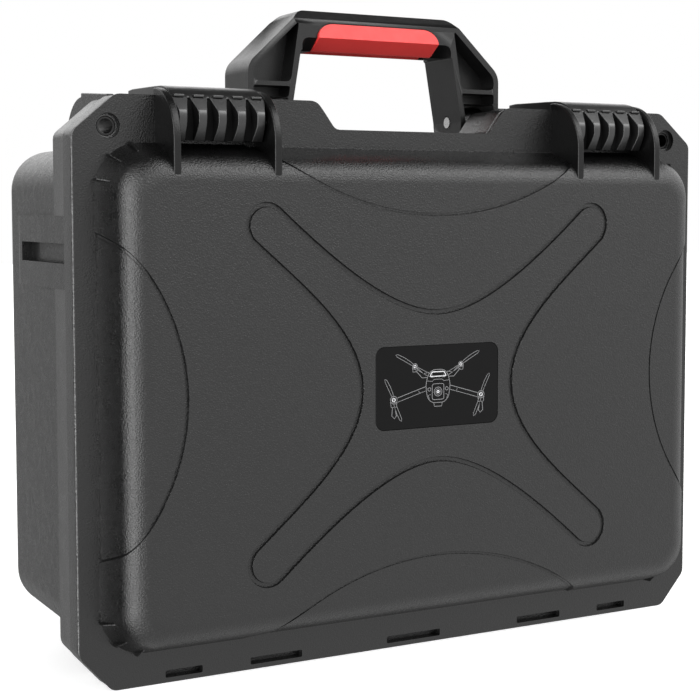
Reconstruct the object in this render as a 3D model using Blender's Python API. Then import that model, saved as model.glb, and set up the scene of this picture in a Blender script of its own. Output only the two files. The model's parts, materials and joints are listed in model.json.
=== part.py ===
"""Hard carrying case for a folding camera drone.

Two moulded shells hinged along the bottom edge, two ribbed barrel latches, a trapezoid handle with a
soft grip, a gasket, and foam cut to shape.  The case stands upright on its hinge side.

Frame: metres, +Z up, +X along the hinge, -Y out of the lid's front panel.  The origin is the middle of
the case's footprint on the floor.  Sizes below are millimetres.  A place is written (x, depth, z), where
depth counts backwards from the front face of the lid's flange.
"""

import math

import bmesh
import bpy
from mathutils import Vector

MM = 0.001

# Flange: the octagonal rim where the two shells meet.
FLANGE_HALF_X = 190.0
FLANGE_TOP = 295.6
FLANGE_CHAMFER_TOP = (21.7, 18.3)
FLANGE_CHAMFER_LOW = (16.5, 18.5)
FLANGE_EDGE_RADIUS = 3.0
LID_PLATE = 2.6
LID_LIFT = 0.3
RIM_FRONT = 3.3
RIM_STEP = 16.2
RIM_STEP_DEPTH = 0.8
RIM_REAR = 35.1

# Lid dome: drafted walls, then a fillet into the flat front panel.
DOME_HALF_X = 179.6
DOME_LOW = 17.3
DOME_TOP = 272.0
DOME_RADIUS = 24.0
DOME_RADIUS_LOSS = 0.73
DOME_REACH = 25.3
DOME_FILLET = 14.5
DOME_DRAFT = 20.0
DOME_PANEL_INSET = 19.3
LID_WALL = 3.0

# Base tub.
TUB_HALF_X = 186.5
TUB_LOW = 17.0
TUB_TOP = 271.5
TUB_RADIUS = 22.0
TUB_REAR = 132.0
TUB_FILLET = 13.0
TUB_WALL = 4.0
MID_DEPTH = (TUB_REAR - DOME_REACH) / 2

# Lid styling: a closed X-shaped groove, a label recess and three shallow arc steps.
PANEL_MID_Z = 146.0
GROOVE_END = (99.2, 85.4)
GROOVE_END_RADIUS = 10.3
GROOVE_WAIST_X = 45.9
GROOVE_WAIST_Z = 39.2
GROOVE_WIDTH = 1.8
GROOVE_DEPTH = 1.0
LABEL_HALF = (37.7, 21.75)
LABEL_RADIUS = 5.0
LABEL_THICK = 1.2
ARC_STEP = 0.8
ARCS = ((-247.5, 147.0, 106.0), (247.5, 147.0, 106.0), (0.0, 394.5, 158.5), (0.0, -102.0, 158.0))

# Hinge: lid knuckles sit in pockets of the base rim, on three short pins.
HINGE = (8.0, 4.7)
HINGE_KNUCKLES = ((-135.3, 10.1), (-83.4, 14.9), (0.0, 16.9), (83.4, 14.9), (135.3, 10.1))
HINGE_PINS = (("hinge_pin_left", -147.0, -67.0), ("hinge_pin_middle", -19.0, 19.0),
              ("hinge_pin_right", 67.0, 147.0))
HINGE_PIN_RADIUS = 1.7
HINGE_BORE_RADIUS = 2.1
KNUCKLE_RADIUS = 4.2
KNUCKLE_GAP = 0.6
SLOT_HEIGHT = 3.8
SLOT_DEPTH = 3.8

# Latches: each turns on a pin between two curved ears of the lid.
LATCH_X = 119.25
EAR_INNER = 24.75
EAR_THICK = 4.0
EAR_TOP = 299.6
LATCH_PIVOT = (-10.6, 283.1)
LATCH_HALF = 24.35
LATCH_RIBS = 5
LATCH_RIB_PITCH = 10.4
LATCH_RIB_WIDTH = 4.8
LATCH_RIB_FLOOR = -13.4
LATCH_BAY_HALF = 26.0
LATCH_BAY_FLOOR = 292.0
LATCH_PIN_RADIUS = 1.5
LATCH_BORE_RADIUS = 1.9

# Handle.
HANDLE_PIVOT = (55.0, 290.0)
HANDLE_FRONT = 39.5
HANDLE_REAR = 70.5
HANDLE_HALF_X = 80.0
HANDLE_SHOULDER = 317.5
HANDLE_TOP = 348.0
HANDLE_TOP_HALF = 45.3
HANDLE_TOP_BEVEL = 5.0
HANDLE_OPENING_TOP = 325.5
HANDLE_OPENING_HALF = 49.5
HANDLE_LEG_SLOPE = 0.17
HANDLE_WEB = 3.6
HANDLE_RIB = (306.2, 308.6)
HANDLE_PIN_RADIUS = 3.4
HANDLE_BORE_RADIUS = 3.8
LUG_X = (61.2, 75.2)
LUG_RADIUS = 9.0
GRIP_HALF = 40.0
GRIP_TOP = 341.0
GRIP_RIDGE = 333.0

# Padlock holes through both flanges, lined with steel bushes.
LOCK_X = 172.2
LOCK_Z = 279.9
LOCK_MOUTH_RADIUS = 6.0
LOCK_HOLE_RADIUS = 4.0
BUSH_OUTER = 4.6
BUSH_INNER = 3.7

# Side bands of the tub, each with a finger pocket.
BAND_Z = (199.6, 236.2)
BAND_REAR = 104.0
POCKET_Z = (212.5, 222.5)
POCKET_REAR = 92.0
POCKET_DEEP_FROM = 72.0

# Foam.
FOAM_GAP = 0.7
FOAM_FLOOR_FRONT = 108.0
FOAM_FRONT = 3.4
LID_FOAM_REAR = 2.0
POCKETS = {  # x and z limits, seen from the lid's side
    "drone": (-166.0, 62.0, 150.0, 252.0),
    "controller": (-166.0, -6.0, 36.0, 134.0),
    "charger": (10.0, 104.0, 36.0, 134.0),
    "spares": (120.0, 166.0, 36.0, 134.0),
    "battery_1": (80.0, 166.0, 150.0, 179.0),
    "battery_2": (80.0, 166.0, 187.0, 216.0),
    "battery_3": (80.0, 166.0, 224.0, 253.0),
}
POCKET_RADIUS = 9.0

CORNER_STEPS = 5
GAP = 0.3


# ---------------------------------------------------------------- small helpers

def at(x, depth, z):
    """World position, in metres, of a place given in millimetres."""
    return Vector((x * MM, (depth - MID_DEPTH) * MM, z * MM))


def material(name, color, roughness, metallic=0.0):
    mat = bpy.data.materials.new(name)
    mat.use_nodes = True
    shader = mat.node_tree.nodes["Principled BSDF"]
    shader.inputs["Base Color"].default_value = (*color, 1.0)
    shader.inputs["Roughness"].default_value = roughness
    shader.inputs["Metallic"].default_value = metallic
    return mat


def add_object(name, mesh, mat=None, smooth=True):
    obj = bpy.data.objects.new(name, mesh)
    bpy.context.scene.collection.objects.link(obj)
    if mat:
        mesh.materials.append(mat)
    if smooth:
        mesh.shade_smooth()
        mesh.set_sharp_from_angle(angle=math.radians(32))
    return obj


def closed_mesh(name, rings):
    """A closed solid lofted through rings of equal length, with its two end rings filled."""
    bm = bmesh.new()
    loops = [[bm.verts.new(point) for point in ring] for ring in rings]
    count = len(loops[0])
    for near, far in zip(loops, loops[1:]):
        for i in range(count):
            j = (i + 1) % count
            bm.faces.new((near[i], near[j], far[j], far[i]))
    bm.faces.new(reversed(loops[0]))
    bm.faces.new(loops[-1])
    bmesh.ops.recalc_face_normals(bm, faces=bm.faces)
    mesh = bpy.data.meshes.new(name)
    bm.to_mesh(mesh)
    bm.free()
    return mesh


def prism_y(name, outline, front, rear, mat=None):
    """Extrude an outline of (x, z) points from one depth to another."""
    rings = [[at(x, depth, z) for x, z in outline] for depth in (front, rear)]
    return add_object(name, closed_mesh(name, rings), mat)


def prism_x(name, outline, left, right, mat=None):
    """Extrude an outline of (depth, z) points along X."""
    rings = [[at(x, depth, z) for depth, z in outline] for x in (left, right)]
    return add_object(name, closed_mesh(name, rings), mat)


def prism_z(name, outline, low, high, mat=None):
    """Extrude an outline of (x, depth) points along Z."""
    rings = [[at(x, depth, z) for x, depth in outline] for z in (low, high)]
    return add_object(name, closed_mesh(name, rings), mat)


def box(name, x, depth, z, mat=None):
    outline = ((x[0], z[0]), (x[1], z[0]), (x[1], z[1]), (x[0], z[1]))
    return prism_y(name, outline, depth[0], depth[1], mat)


def arc(centre, radius, start, end, steps):
    """Points on a circle, angles in degrees, both ends included."""
    points = []
    for i in range(steps + 1):
        angle = math.radians(start + (end - start) * i / steps)
        points.append((centre[0] + radius * math.cos(angle), centre[1] + radius * math.sin(angle)))
    return points


def circle(centre, radius, steps=16):
    return arc(centre, radius, 0.0, 360.0 * (steps - 1) / steps, steps - 1)


def round_corner(radius):
    """Offsets (in, along) from a corner, from the upright side to the level side."""
    quarter = [math.radians(90.0 * i / CORNER_STEPS) for i in range(CORNER_STEPS + 1)]
    return [(radius * (1 - math.cos(a)), radius * (1 - math.sin(a))) for a in quarter]


def chamfer_corner(size, soften=FLANGE_EDGE_RADIUS):
    """The same for a chamfer whose two edges are slightly rounded."""
    across, down = size
    length = math.hypot(across, down)
    step = (across / length * soften, down / length * soften)
    first, last = (0.0, down), (across, 0.0)
    runs = (((0.0, down + soften), first, (step[0], down - step[1])),
            ((across - step[0], step[1]), last, (across + soften, 0.0)))
    points = []
    for before, edge, after in runs:
        middle = tuple(0.25 * b + 0.5 * e + 0.25 * a for b, e, a in zip(before, edge, after))
        points += [before, middle, after]
    return points


def outline(half_x, low, high, low_corner, high_corner):
    """A symmetric four-cornered outline of (x, z) points, anticlockwise from the right side."""
    right_top = [(half_x - u, high - v) for u, v in high_corner]
    left_top = [(-half_x + u, high - v) for u, v in reversed(high_corner)]
    left_low = [(-half_x + u, low + v) for u, v in low_corner]
    right_low = [(half_x - u, low + v) for u, v in reversed(low_corner)]
    return right_top + left_top + left_low + right_low


def rounded_box_outline(half_x, low, high, radius, inset=0.0):
    corner = round_corner(max(radius - inset, 1.0))
    return outline(half_x - inset, low + inset, high - inset, corner, corner)


def flange_outline(inset=0.0, low=0.0):
    top = chamfer_corner(FLANGE_CHAMFER_TOP)
    bottom = chamfer_corner(FLANGE_CHAMFER_LOW)
    return outline(FLANGE_HALF_X - inset, low + inset, FLANGE_TOP - inset, bottom, top)


def ring_at(points, depth):
    return [at(x, depth, z) for x, z in points]


def combine(obj, others, operation):
    """Apply one Boolean per tool, and remove the tools."""
    for other in others:
        modifier = obj.modifiers.new(operation.lower(), "BOOLEAN")
        modifier.operation = operation
        modifier.object = other
    depsgraph = bpy.context.evaluated_depsgraph_get()
    mesh = bpy.data.meshes.new_from_object(obj.evaluated_get(depsgraph))
    old = obj.data
    obj.modifiers.clear()
    obj.data = mesh
    mesh.name = obj.name
    bpy.data.meshes.remove(old)
    for other in others:
        tool_mesh = other.data
        bpy.data.objects.remove(other)
        bpy.data.meshes.remove(tool_mesh)
    mesh.shade_smooth()
    mesh.set_sharp_from_angle(angle=math.radians(32))
    return obj


def cut(obj, *tools):
    return combine(obj, tools, "DIFFERENCE")


def join(obj, *tools):
    return combine(obj, tools, "UNION")


def mirrored(outline_points):
    return [(-x, z) for x, z in reversed(outline_points)]


def hang_on(empty, *objects):
    """Put each object's origin on the empty, which lies on its joint's axis."""
    for obj in objects:
        obj.data.transform(empty.matrix_world.inverted())
        obj.parent = empty


def axis_empty(name, place):
    empty = bpy.data.objects.new(name, None)
    empty.location = place
    empty.empty_display_size = 0.02
    bpy.context.scene.collection.objects.link(empty)
    bpy.context.view_layer.update()
    return empty


# ---------------------------------------------------------------- shared shapes

def handle_notch(name, front, rear):
    """The lowered middle of the flange's top edge, under the handle."""
    points = ((-47.8, 281.0), (47.8, 281.0), (59.5, 293.9), (62.0, 310.0), (-62.0, 310.0), (-59.5, 293.9))
    return prism_y(name, points, front, rear)


def padlock_hole(name, side, front, rear, radius):
    return prism_y(name, circle((side * LOCK_X, LOCK_Z), radius), front, rear)


def dome_outline(inset):
    corner = round_corner(DOME_RADIUS - DOME_RADIUS_LOSS * inset)
    return outline(DOME_HALF_X - inset, DOME_LOW + inset, DOME_TOP - inset, corner, corner)


def dome_rings(thinner, rear):
    """Rings from depth rear to the panel, on the dome's outside moved inwards by thinner."""
    radius = DOME_FILLET - thinner
    centre = DOME_FILLET - DOME_REACH
    steps = [math.radians(DOME_DRAFT + (90.0 - DOME_DRAFT) * i / 4) for i in range(5)]
    fillet = [(DOME_PANEL_INSET - radius * math.cos(a), centre - radius * math.sin(a)) for a in steps]
    inset, depth = fillet[0]
    wall = (inset - math.tan(math.radians(DOME_DRAFT)) * (rear - depth), rear)
    return [ring_at(dome_outline(inset), depth) for inset, depth in [wall] + fillet]


def wall_rings(half_x, low, high, radius, start, end, fillet, steps=4):
    """Rings that run from depth start to a filleted end face at depth end."""
    sign = 1.0 if end > start else -1.0
    rings = [ring_at(rounded_box_outline(half_x, low, high, radius), start)]
    for i in range(steps + 1):
        angle = math.radians(90.0 * i / steps)
        inset = fillet * (1 - math.cos(angle))
        depth = end - sign * fillet * (1 - math.sin(angle))
        rings.append(ring_at(rounded_box_outline(half_x, low, high, radius, inset), depth))
    return rings


# ---------------------------------------------------------------- lid

def groove_outline(offset):
    """Outline of the X: round arm ends joined by four concave sides, moved outwards by offset."""
    end_x, end_z = GROOVE_END
    radius = GROOVE_END_RADIUS + offset
    points = []
    quarters = ((1, 1), (-1, 1), (-1, -1), (1, -1))
    for k, (sx, sz) in enumerate(quarters):
        centre = (sx * end_x, PANEL_MID_Z + sz * end_z)
        middle = 45.0 + 90.0 * k
        spread = 96.0
        points += arc(centre, radius, middle - spread, middle + spread, 8)
        upright = k % 2 == 0
        if upright:
            waist = (0.0, PANEL_MID_Z + sz * (GROOVE_WAIST_Z + offset))
        else:
            waist = (sx * (GROOVE_WAIST_X + offset), PANEL_MID_Z)
        next_sign = quarters[(k + 1) % 4]
        arrive = (next_sign[0] * end_x, PANEL_MID_Z + next_sign[1] * end_z)
        entry = arc(arrive, radius, middle + 90.0 - spread, middle + 90.0 - spread + 1.0, 1)[0]
        points += bend(points[-1], waist, entry, 8)
    return points


def bend(start, waist, end, steps):
    """Inner points of the quadratic curve from start to end that passes the waist half way."""
    handle = [2 * w - (s + e) / 2 for s, w, e in zip(start, waist, end)]
    points = []
    for i in range(1, steps):
        t = i / steps
        points.append(tuple((1 - t) ** 2 * s + 2 * t * (1 - t) * h + t * t * e
                            for s, h, e in zip(start, handle, end)))
    return points


def ear_profile():
    """Curved plate from the flange's top down to the dome's front edge, as (depth, z)."""
    fillet_centre = (DOME_FILLET - DOME_REACH, DOME_TOP - DOME_PANEL_INSET)
    inside = arc(fillet_centre, DOME_FILLET - 1.3, 175.0, 90.0 + DOME_DRAFT, 4)
    crown = arc((0.0, EAR_TOP - 25.2), 25.2, 90.0, 180.0, 6)
    return [(2.3, DOME_TOP - 1.3), (2.3, EAR_TOP)] + crown + inside


def knuckle_profile():
    pivot_depth, pivot_z = HINGE
    round_end = arc(HINGE, KNUCKLE_RADIUS, -90.0, 90.0, 8)
    return [(LID_PLATE - 0.5, pivot_z - KNUCKLE_RADIUS)] + round_end + [(LID_PLATE - 0.5, pivot_z + KNUCKLE_RADIUS)]


def build_lid(mat):
    outside = list(reversed(dome_rings(0.0, 0.0)))
    plate = [ring_at(flange_outline(0.0, LID_LIFT), 0.0), ring_at(flange_outline(0.0, LID_LIFT), LID_PLATE)]
    rings = outside + plate + dome_rings(LID_WALL, LID_PLATE)
    lid = add_object("lid_shell", closed_mesh("lid_shell", rings), mat)

    added = []
    for side in (-1, 1):
        for edge in (-EAR_INNER - EAR_THICK, EAR_INNER):
            left = side * LATCH_X + edge
            added.append(prism_x("ear", ear_profile(), left, left + EAR_THICK))
    for centre, half in HINGE_KNUCKLES:
        added.append(prism_x("knuckle", knuckle_profile(), centre - half, centre + half))
    join(lid, *added)

    removed = [handle_notch("notch", -1.0, LID_PLATE + 1.0)]
    for side in (-1, 1):
        centre = (side * LOCK_X, LOCK_Z)
        mouth = [ring_at(circle(centre, LOCK_MOUTH_RADIUS + 0.1), -0.1),
                 ring_at(circle(centre, LOCK_HOLE_RADIUS), LID_PLATE + 0.1)]
        removed.append(add_object("mouth", closed_mesh("mouth", mouth)))
        removed.append(prism_x("bore", circle(LATCH_PIVOT, LATCH_BORE_RADIUS, 12),
                               side * LATCH_X - 32.0, side * LATCH_X + 32.0))
    for centre, half in HINGE_KNUCKLES:
        removed.append(box("slot", (centre - half, centre + half), (-1.0, SLOT_DEPTH),
                           (HINGE[1] - SLOT_HEIGHT / 2, HINGE[1] + SLOT_HEIGHT / 2)))
    removed.append(prism_x("hinge_bore", circle(HINGE, HINGE_BORE_RADIUS, 12), -160.0, 160.0))
    cut(lid, *removed)

    for x, z, radius in ARCS:
        steps = [p for p in circle((x, z), radius, 64)]
        cut(lid, prism_y("arc", steps, -DOME_REACH - 1.0, -DOME_REACH + ARC_STEP))
    groove = prism_y("groove", groove_outline(GROOVE_WIDTH / 2), -DOME_REACH - 1.0, -DOME_REACH + GROOVE_DEPTH)
    cut(groove, prism_y("island", groove_outline(-GROOVE_WIDTH / 2), -DOME_REACH - 2.0, 0.0))
    recess = rounded_box_outline(LABEL_HALF[0] + GAP, PANEL_MID_Z - LABEL_HALF[1] - GAP,
                                 PANEL_MID_Z + LABEL_HALF[1] + GAP, LABEL_RADIUS)
    cut(lid, groove, prism_y("label_recess", recess, -DOME_REACH - 1.0, -DOME_REACH + LABEL_THICK + GAP))
    return lid


def build_label(mat):
    points = rounded_box_outline(LABEL_HALF[0], PANEL_MID_Z - LABEL_HALF[1], PANEL_MID_Z + LABEL_HALF[1],
                                 LABEL_RADIUS)
    return prism_y("label_plate", points, -DOME_REACH, -DOME_REACH + LABEL_THICK, mat)


# ---------------------------------------------------------------- base

def guard_profile():
    """Curved rib behind the rim that shields the latch's tail, as (depth, z)."""
    crown = arc((57.0, TUB_TOP), 26.2, 90.0, 0.0, 5)
    return ([(RIM_STEP + 0.4, 290.0), (RIM_STEP + 0.4, 296.6), (57.0, 299.7)] + crown
            + [(83.2, TUB_TOP - 2.5), (34.0, TUB_TOP - 2.5), (34.0, 290.0)])


def lug_profile():
    depth, z = HANDLE_PIVOT
    return ([(depth - LUG_RADIUS, TUB_TOP - 2.5), (depth + LUG_RADIUS, TUB_TOP - 2.5)]
            + arc(HANDLE_PIVOT, LUG_RADIUS, 0.0, 180.0, 8))


def hinge_relief_profile():
    """Rounds the rim's lower front edge about the hinge, so that the lid's plate can pass under it."""
    return ([(RIM_FRONT - 1.0, -1.0), (HINGE[0], -1.0)]
            + arc(HINGE, HINGE[1], -90.0, -180.0, 5) + [(RIM_FRONT - 1.0, HINGE[1])])


def seal_ring(name, inner, outer, front, rear, mat=None):
    """A rectangular-section ring around the tub's mouth; inner and outer are offsets from it."""
    def loop(offset, depth):
        return ring_at(rounded_box_outline(TUB_HALF_X - TUB_WALL, TUB_LOW + TUB_WALL, TUB_TOP - TUB_WALL,
                                           TUB_RADIUS - TUB_WALL, -offset), depth)
    rings = [loop(inner, front), loop(outer, front), loop(outer, rear), loop(inner, rear)]
    bm = bmesh.new()
    loops = [[bm.verts.new(point) for point in ring] for ring in rings]
    count = len(loops[0])
    for k in range(4):
        near, far = loops[k], loops[(k + 1) % 4]
        for i in range(count):
            j = (i + 1) % count
            bm.faces.new((near[i], near[j], far[j], far[i]))
    bmesh.ops.recalc_face_normals(bm, faces=bm.faces)
    mesh = bpy.data.meshes.new(name)
    bm.to_mesh(mesh)
    bm.free()
    return add_object(name, mesh, mat)


def rim_cells():
    """Open cells in the back of the rim, between stiffening ribs."""
    cells = []
    for side in (-1, 1):
        for left, right, top in ((64.0, 81.0, 291.5), (91.0, 117.8, 289.0), (120.6, 147.6, 289.0),
                                 (150.4, 160.5, 291.5)):
            span = sorted((side * left, side * right))
            cells.append(box("cell", span, (8.0, RIM_REAR + 1.0), (275.0, top)))
        for left, right in ((3.0, 28.0), (31.0, 58.0), (61.0, 90.0), (93.0, 122.0), (125.0, 160.0)):
            span = sorted((side * left, side * right))
            cells.append(box("cell", span, (17.5, RIM_REAR + 1.0), (4.0, 13.5)))
    return cells


def build_base(mat):
    tub = wall_rings(TUB_HALF_X, TUB_LOW, TUB_TOP, TUB_RADIUS, RIM_REAR, TUB_REAR, TUB_FILLET)
    rim = [ring_at(flange_outline(RIM_STEP_DEPTH), RIM_REAR), ring_at(flange_outline(RIM_STEP_DEPTH), RIM_STEP),
           ring_at(flange_outline(), RIM_STEP), ring_at(flange_outline(), RIM_FRONT)]
    inside = wall_rings(TUB_HALF_X - TUB_WALL, TUB_LOW + TUB_WALL, TUB_TOP - TUB_WALL, TUB_RADIUS - TUB_WALL,
                        RIM_FRONT, TUB_REAR - TUB_WALL, TUB_FILLET - TUB_WALL)
    rings = list(reversed(tub)) + rim + inside
    base = add_object("base_shell", closed_mesh("base_shell", rings), mat)

    added = []
    for side in (-1, 1):
        band = [(side * x, depth) for x, depth in ((184.5, 30.0), (189.2, 30.0), (189.2, 97.0), (186.0, BAND_REAR),
                                                   (184.5, BAND_REAR))]
        added.append(prism_z("band", band, *BAND_Z))
        lug = sorted((side * LUG_X[0], side * LUG_X[1]))
        added.append(prism_x("lug", lug_profile(), *lug))
        for left in (83.5, 163.0):
            rib = sorted((side * left, side * (left + 4.0)))
            added.append(prism_x("guard", guard_profile(), *rib))
        foot = [(118.0, 96.0), (142.0, 96.0), (142.0, 116.0), (118.0, 116.0)]
        added.append(prism_z("foot", [(side * x, depth) for x, depth in foot], 0.0, TUB_LOW + 2.5))
    join(base, *added)

    removed = [handle_notch("notch", RIM_FRONT - 1.0, RIM_REAR + 1.0),
               prism_x("relief", hinge_relief_profile(), -200.0, 200.0)]
    for side in (-1, 1):
        removed.append(padlock_hole("lock", side, RIM_FRONT - 1.0, RIM_REAR + 1.0, BUSH_OUTER + GAP))
        bay = sorted((side * LATCH_X - LATCH_BAY_HALF, side * LATCH_X + LATCH_BAY_HALF))
        removed.append(box("bay", bay, (RIM_FRONT - 1.0, RIM_REAR + 1.0), (LATCH_BAY_FLOOR, 310.0)))
        shallow = sorted((side * TUB_HALF_X, side * 195.0))
        deep = sorted((side * 184.8, side * 195.0))
        removed.append(box("pocket", shallow, (RIM_STEP, POCKET_REAR), POCKET_Z))
        removed.append(box("deep_pocket", deep, (POCKET_DEEP_FROM, POCKET_REAR), POCKET_Z))
        lug = sorted((side * (LUG_X[0] - 2.0), side * (LUG_X[1] + 2.0)))
        removed.append(prism_x("lug_bore", circle(HANDLE_PIVOT, HANDLE_BORE_RADIUS), *lug))
    for centre, half in HINGE_KNUCKLES:
        reach = half + KNUCKLE_GAP
        removed.append(box("hinge_pocket", (centre - reach, centre + reach), (RIM_FRONT - 1.0, 15.5), (-1.0, 12.5)))
    for _, left, right in HINGE_PINS:
        removed.append(prism_x("hinge_bore", circle(HINGE, HINGE_BORE_RADIUS, 12), left - 0.5, right + 0.5))
    cut(base, *removed)
    cut(base, *rim_cells())
    cut(base, seal_ring("groove", 1.7, 5.3, RIM_FRONT - 1.0, 6.4))
    return base


# ---------------------------------------------------------------- latches

def latch_profile():
    """Barrel, cover and tail, as (depth, z), anticlockwise seen along -X."""
    depth, z = LATCH_PIVOT
    belly = arc(LATCH_PIVOT, depth * -1 - 0.6, -82.0, 0.0, 6)
    under = [(-0.6, 296.1), (6.4, 296.1), (6.4, 292.7), (40.6, 292.7), (42.5, 298.2), (50.5, 299.0)]
    top = [(50.5, 301.2), (44.0, 301.4), (2.0, 300.3), (-4.0, 299.2), (-9.0, 296.9), (-12.6, 293.3)]
    front = [(-17.7, 287.2), (-17.7, 279.0), (-12.2, 273.4)]
    return belly + under + top + front


def build_latch(name, side, mat):
    centre = side * LATCH_X
    latch = prism_x(name, latch_profile(), centre - LATCH_HALF, centre + LATCH_HALF, mat)
    reach = LATCH_RIB_PITCH * (LATCH_RIBS - 1) / 2
    edges = [-LATCH_HALF - 1.0]
    for k in range(LATCH_RIBS):
        rib = -reach + LATCH_RIB_PITCH * k
        edges += [rib - LATCH_RIB_WIDTH / 2, rib + LATCH_RIB_WIDTH / 2]
    edges.append(LATCH_HALF + 1.0)
    tools = []
    for left, right in zip(edges[::2], edges[1::2]):
        tools.append(box("gap", (centre + left, centre + right), (-20.0, LATCH_RIB_FLOOR), (270.0, 292.6)))
    tools.append(prism_x("bore", circle(LATCH_PIVOT, LATCH_BORE_RADIUS, 12), centre - 30.0, centre + 30.0))
    return cut(latch, *tools)


# ---------------------------------------------------------------- handle

def leg_inner_x(z):
    return HANDLE_OPENING_HALF + (HANDLE_OPENING_TOP - z) * HANDLE_LEG_SLOPE


def handle_outline():
    """The whole frame seen from the front, down to the level of the pivots."""
    pivot_z = HANDLE_PIVOT[1]
    right = [(leg_inner_x(pivot_z), pivot_z), (HANDLE_HALF_X, pivot_z), (HANDLE_HALF_X, HANDLE_SHOULDER),
             (HANDLE_TOP_HALF, HANDLE_TOP)]
    opening = [(-HANDLE_OPENING_HALF, HANDLE_OPENING_TOP), (HANDLE_OPENING_HALF, HANDLE_OPENING_TOP)]
    return right + mirrored(right) + opening


def leg_cell(low, high):
    """Hollow of the right leg between two levels, inside its webs."""
    slope = (HANDLE_HALF_X - HANDLE_TOP_HALF) / (HANDLE_TOP - HANDLE_SHOULDER)
    web = HANDLE_WEB
    outer = HANDLE_HALF_X - web
    shoulder = HANDLE_SHOULDER - 1.6
    level = max(low, HANDLE_PIVOT[1])
    points = [(leg_inner_x(level) + web, level), (leg_inner_x(level) + web, low - 0.01), (outer, low - 0.01)]
    if high > shoulder:
        inner_top = leg_inner_x(high) + web
        peak = shoulder + (outer - inner_top) / slope
        points += [(outer, shoulder), (inner_top, peak)]
    else:
        points += [(outer, high), (leg_inner_x(high) + web, high)]
    return points


def grip_section(extra):
    """Section of the grip channel, as (depth, z): ridged outside, straight inside."""
    low = HANDLE_OPENING_TOP
    front, rear = HANDLE_FRONT, HANDLE_REAR
    return [(front + 2.0 - extra, low), (rear - 2.0 + extra, low), (rear + 3.0 + extra, GRIP_RIDGE),
            (rear, GRIP_TOP + extra), (front, GRIP_TOP + extra), (front - 3.0 - extra, GRIP_RIDGE)]


def build_handle(mat):
    frame = prism_y("handle_frame", handle_outline(), HANDLE_FRONT, HANDLE_REAR, mat)
    depth, pivot_z = HANDLE_PIVOT
    half = (HANDLE_REAR - HANDLE_FRONT) / 2
    ends = []
    for side in (-1, 1):
        span = sorted((side * leg_inner_x(pivot_z), side * HANDLE_HALF_X))
        ends.append(prism_x("heel", arc(HANDLE_PIVOT, half, -180.0, 0.0, 10) + [(HANDLE_REAR, pivot_z + 2.0),
                            (HANDLE_FRONT, pivot_z + 2.0)], *span))
    join(frame, *ends)

    tools = []
    top, bevel = HANDLE_TOP, HANDLE_TOP_BEVEL
    for edge, way in ((HANDLE_FRONT, 1), (HANDLE_REAR, -1)):
        corner = [(edge, top - bevel), (edge + way * bevel, top), (edge + way * bevel, top + 3.0),
                  (edge - way * 3.0, top + 3.0), (edge - way * 3.0, top - bevel)]
        tools.append(prism_x("bevel", corner, -90.0, 90.0))
    for side in (-1, 1):
        lower = leg_cell(pivot_z - half - 2.0, HANDLE_RIB[0])
        upper = leg_cell(HANDLE_RIB[1], HANDLE_TOP - 10.0)
        if side < 0:
            lower, upper = mirrored(lower), mirrored(upper)
        tools.append(prism_y("lower_cell", lower, HANDLE_FRONT - 1.0, HANDLE_REAR + 1.0))
        tools.append(prism_y("front_cell", upper, HANDLE_FRONT - 1.0, depth - 2.0))
        tools.append(prism_y("rear_cell", upper, depth + 2.0, HANDLE_REAR + 1.0))
        span = sorted((side * 50.0, side * 90.0))
        tools.append(prism_x("pin_bore", circle(HANDLE_PIVOT, HANDLE_BORE_RADIUS), *span))
    cut(frame, *tools)

    reach = GRIP_HALF + GAP
    sleeve = box("sleeve", (-reach, reach), (HANDLE_FRONT - 5.0, HANDLE_REAR + 5.0),
                 (HANDLE_OPENING_TOP - 1.0, GRIP_TOP + GAP))
    cut(sleeve, grip_core("core", -50.0, 50.0, 0.0))
    return cut(frame, sleeve)


def grip_core(name, left, right, extra):
    """The bar's core that the grip is moulded around."""
    front, rear, low = HANDLE_FRONT + 4.5, HANDLE_REAR - 4.5, HANDLE_OPENING_TOP + 4.0
    points = [(front - extra, low - extra), (rear + extra, low - extra), (rear + extra, GRIP_TOP + 5.0),
              (front - extra, GRIP_TOP + 5.0)]
    return prism_x(name, points, left, right)


def build_grip(mat):
    grip = prism_x("handle_grip", grip_section(0.0), -GRIP_HALF, GRIP_HALF, mat)
    return cut(grip, grip_core("core", -50.0, 50.0, GAP))


# ---------------------------------------------------------------- foam

def build_foam(mat):
    gap = TUB_WALL + FOAM_GAP
    block = rounded_box_outline(TUB_HALF_X - gap, TUB_LOW + gap, TUB_TOP - gap, TUB_RADIUS - gap)
    foam = prism_y("base_foam", block, FOAM_FRONT, FOAM_FLOOR_FRONT, mat)
    tools = []
    for name, (left, right, low, high) in POCKETS.items():
        half = (right - left) / 2
        corner = round_corner(POCKET_RADIUS if high - low > 30.0 else 5.0)
        points = [(x + left + half, z) for x, z in outline(half, low, high, corner, corner)]
        tools.append(prism_y(name, points, FOAM_FRONT - 1.0, FOAM_FLOOR_FRONT + 1.0))
    cut(foam, *tools)

    inset = 9.0
    sheet = rounded_box_outline(TUB_HALF_X - gap, TUB_LOW + gap, TUB_TOP - gap, TUB_RADIUS - gap)
    small = rounded_box_outline(TUB_HALF_X - gap, TUB_LOW + gap, TUB_TOP - gap, TUB_RADIUS - gap, inset)
    rings = [ring_at(sheet, FOAM_FLOOR_FRONT + GAP), ring_at(sheet, TUB_REAR - TUB_FILLET - 0.5),
             ring_at(small, TUB_REAR - TUB_WALL - FOAM_GAP)]
    floor = add_object("foam_floor", closed_mesh("foam_floor", rings), mat)
    return foam, floor


def build_lid_foam(mat):
    rings = dome_rings(LID_WALL + FOAM_GAP, LID_FOAM_REAR)
    return add_object("lid_foam", closed_mesh("lid_foam", rings), mat)


# ---------------------------------------------------------------- pins and bushes

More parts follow.
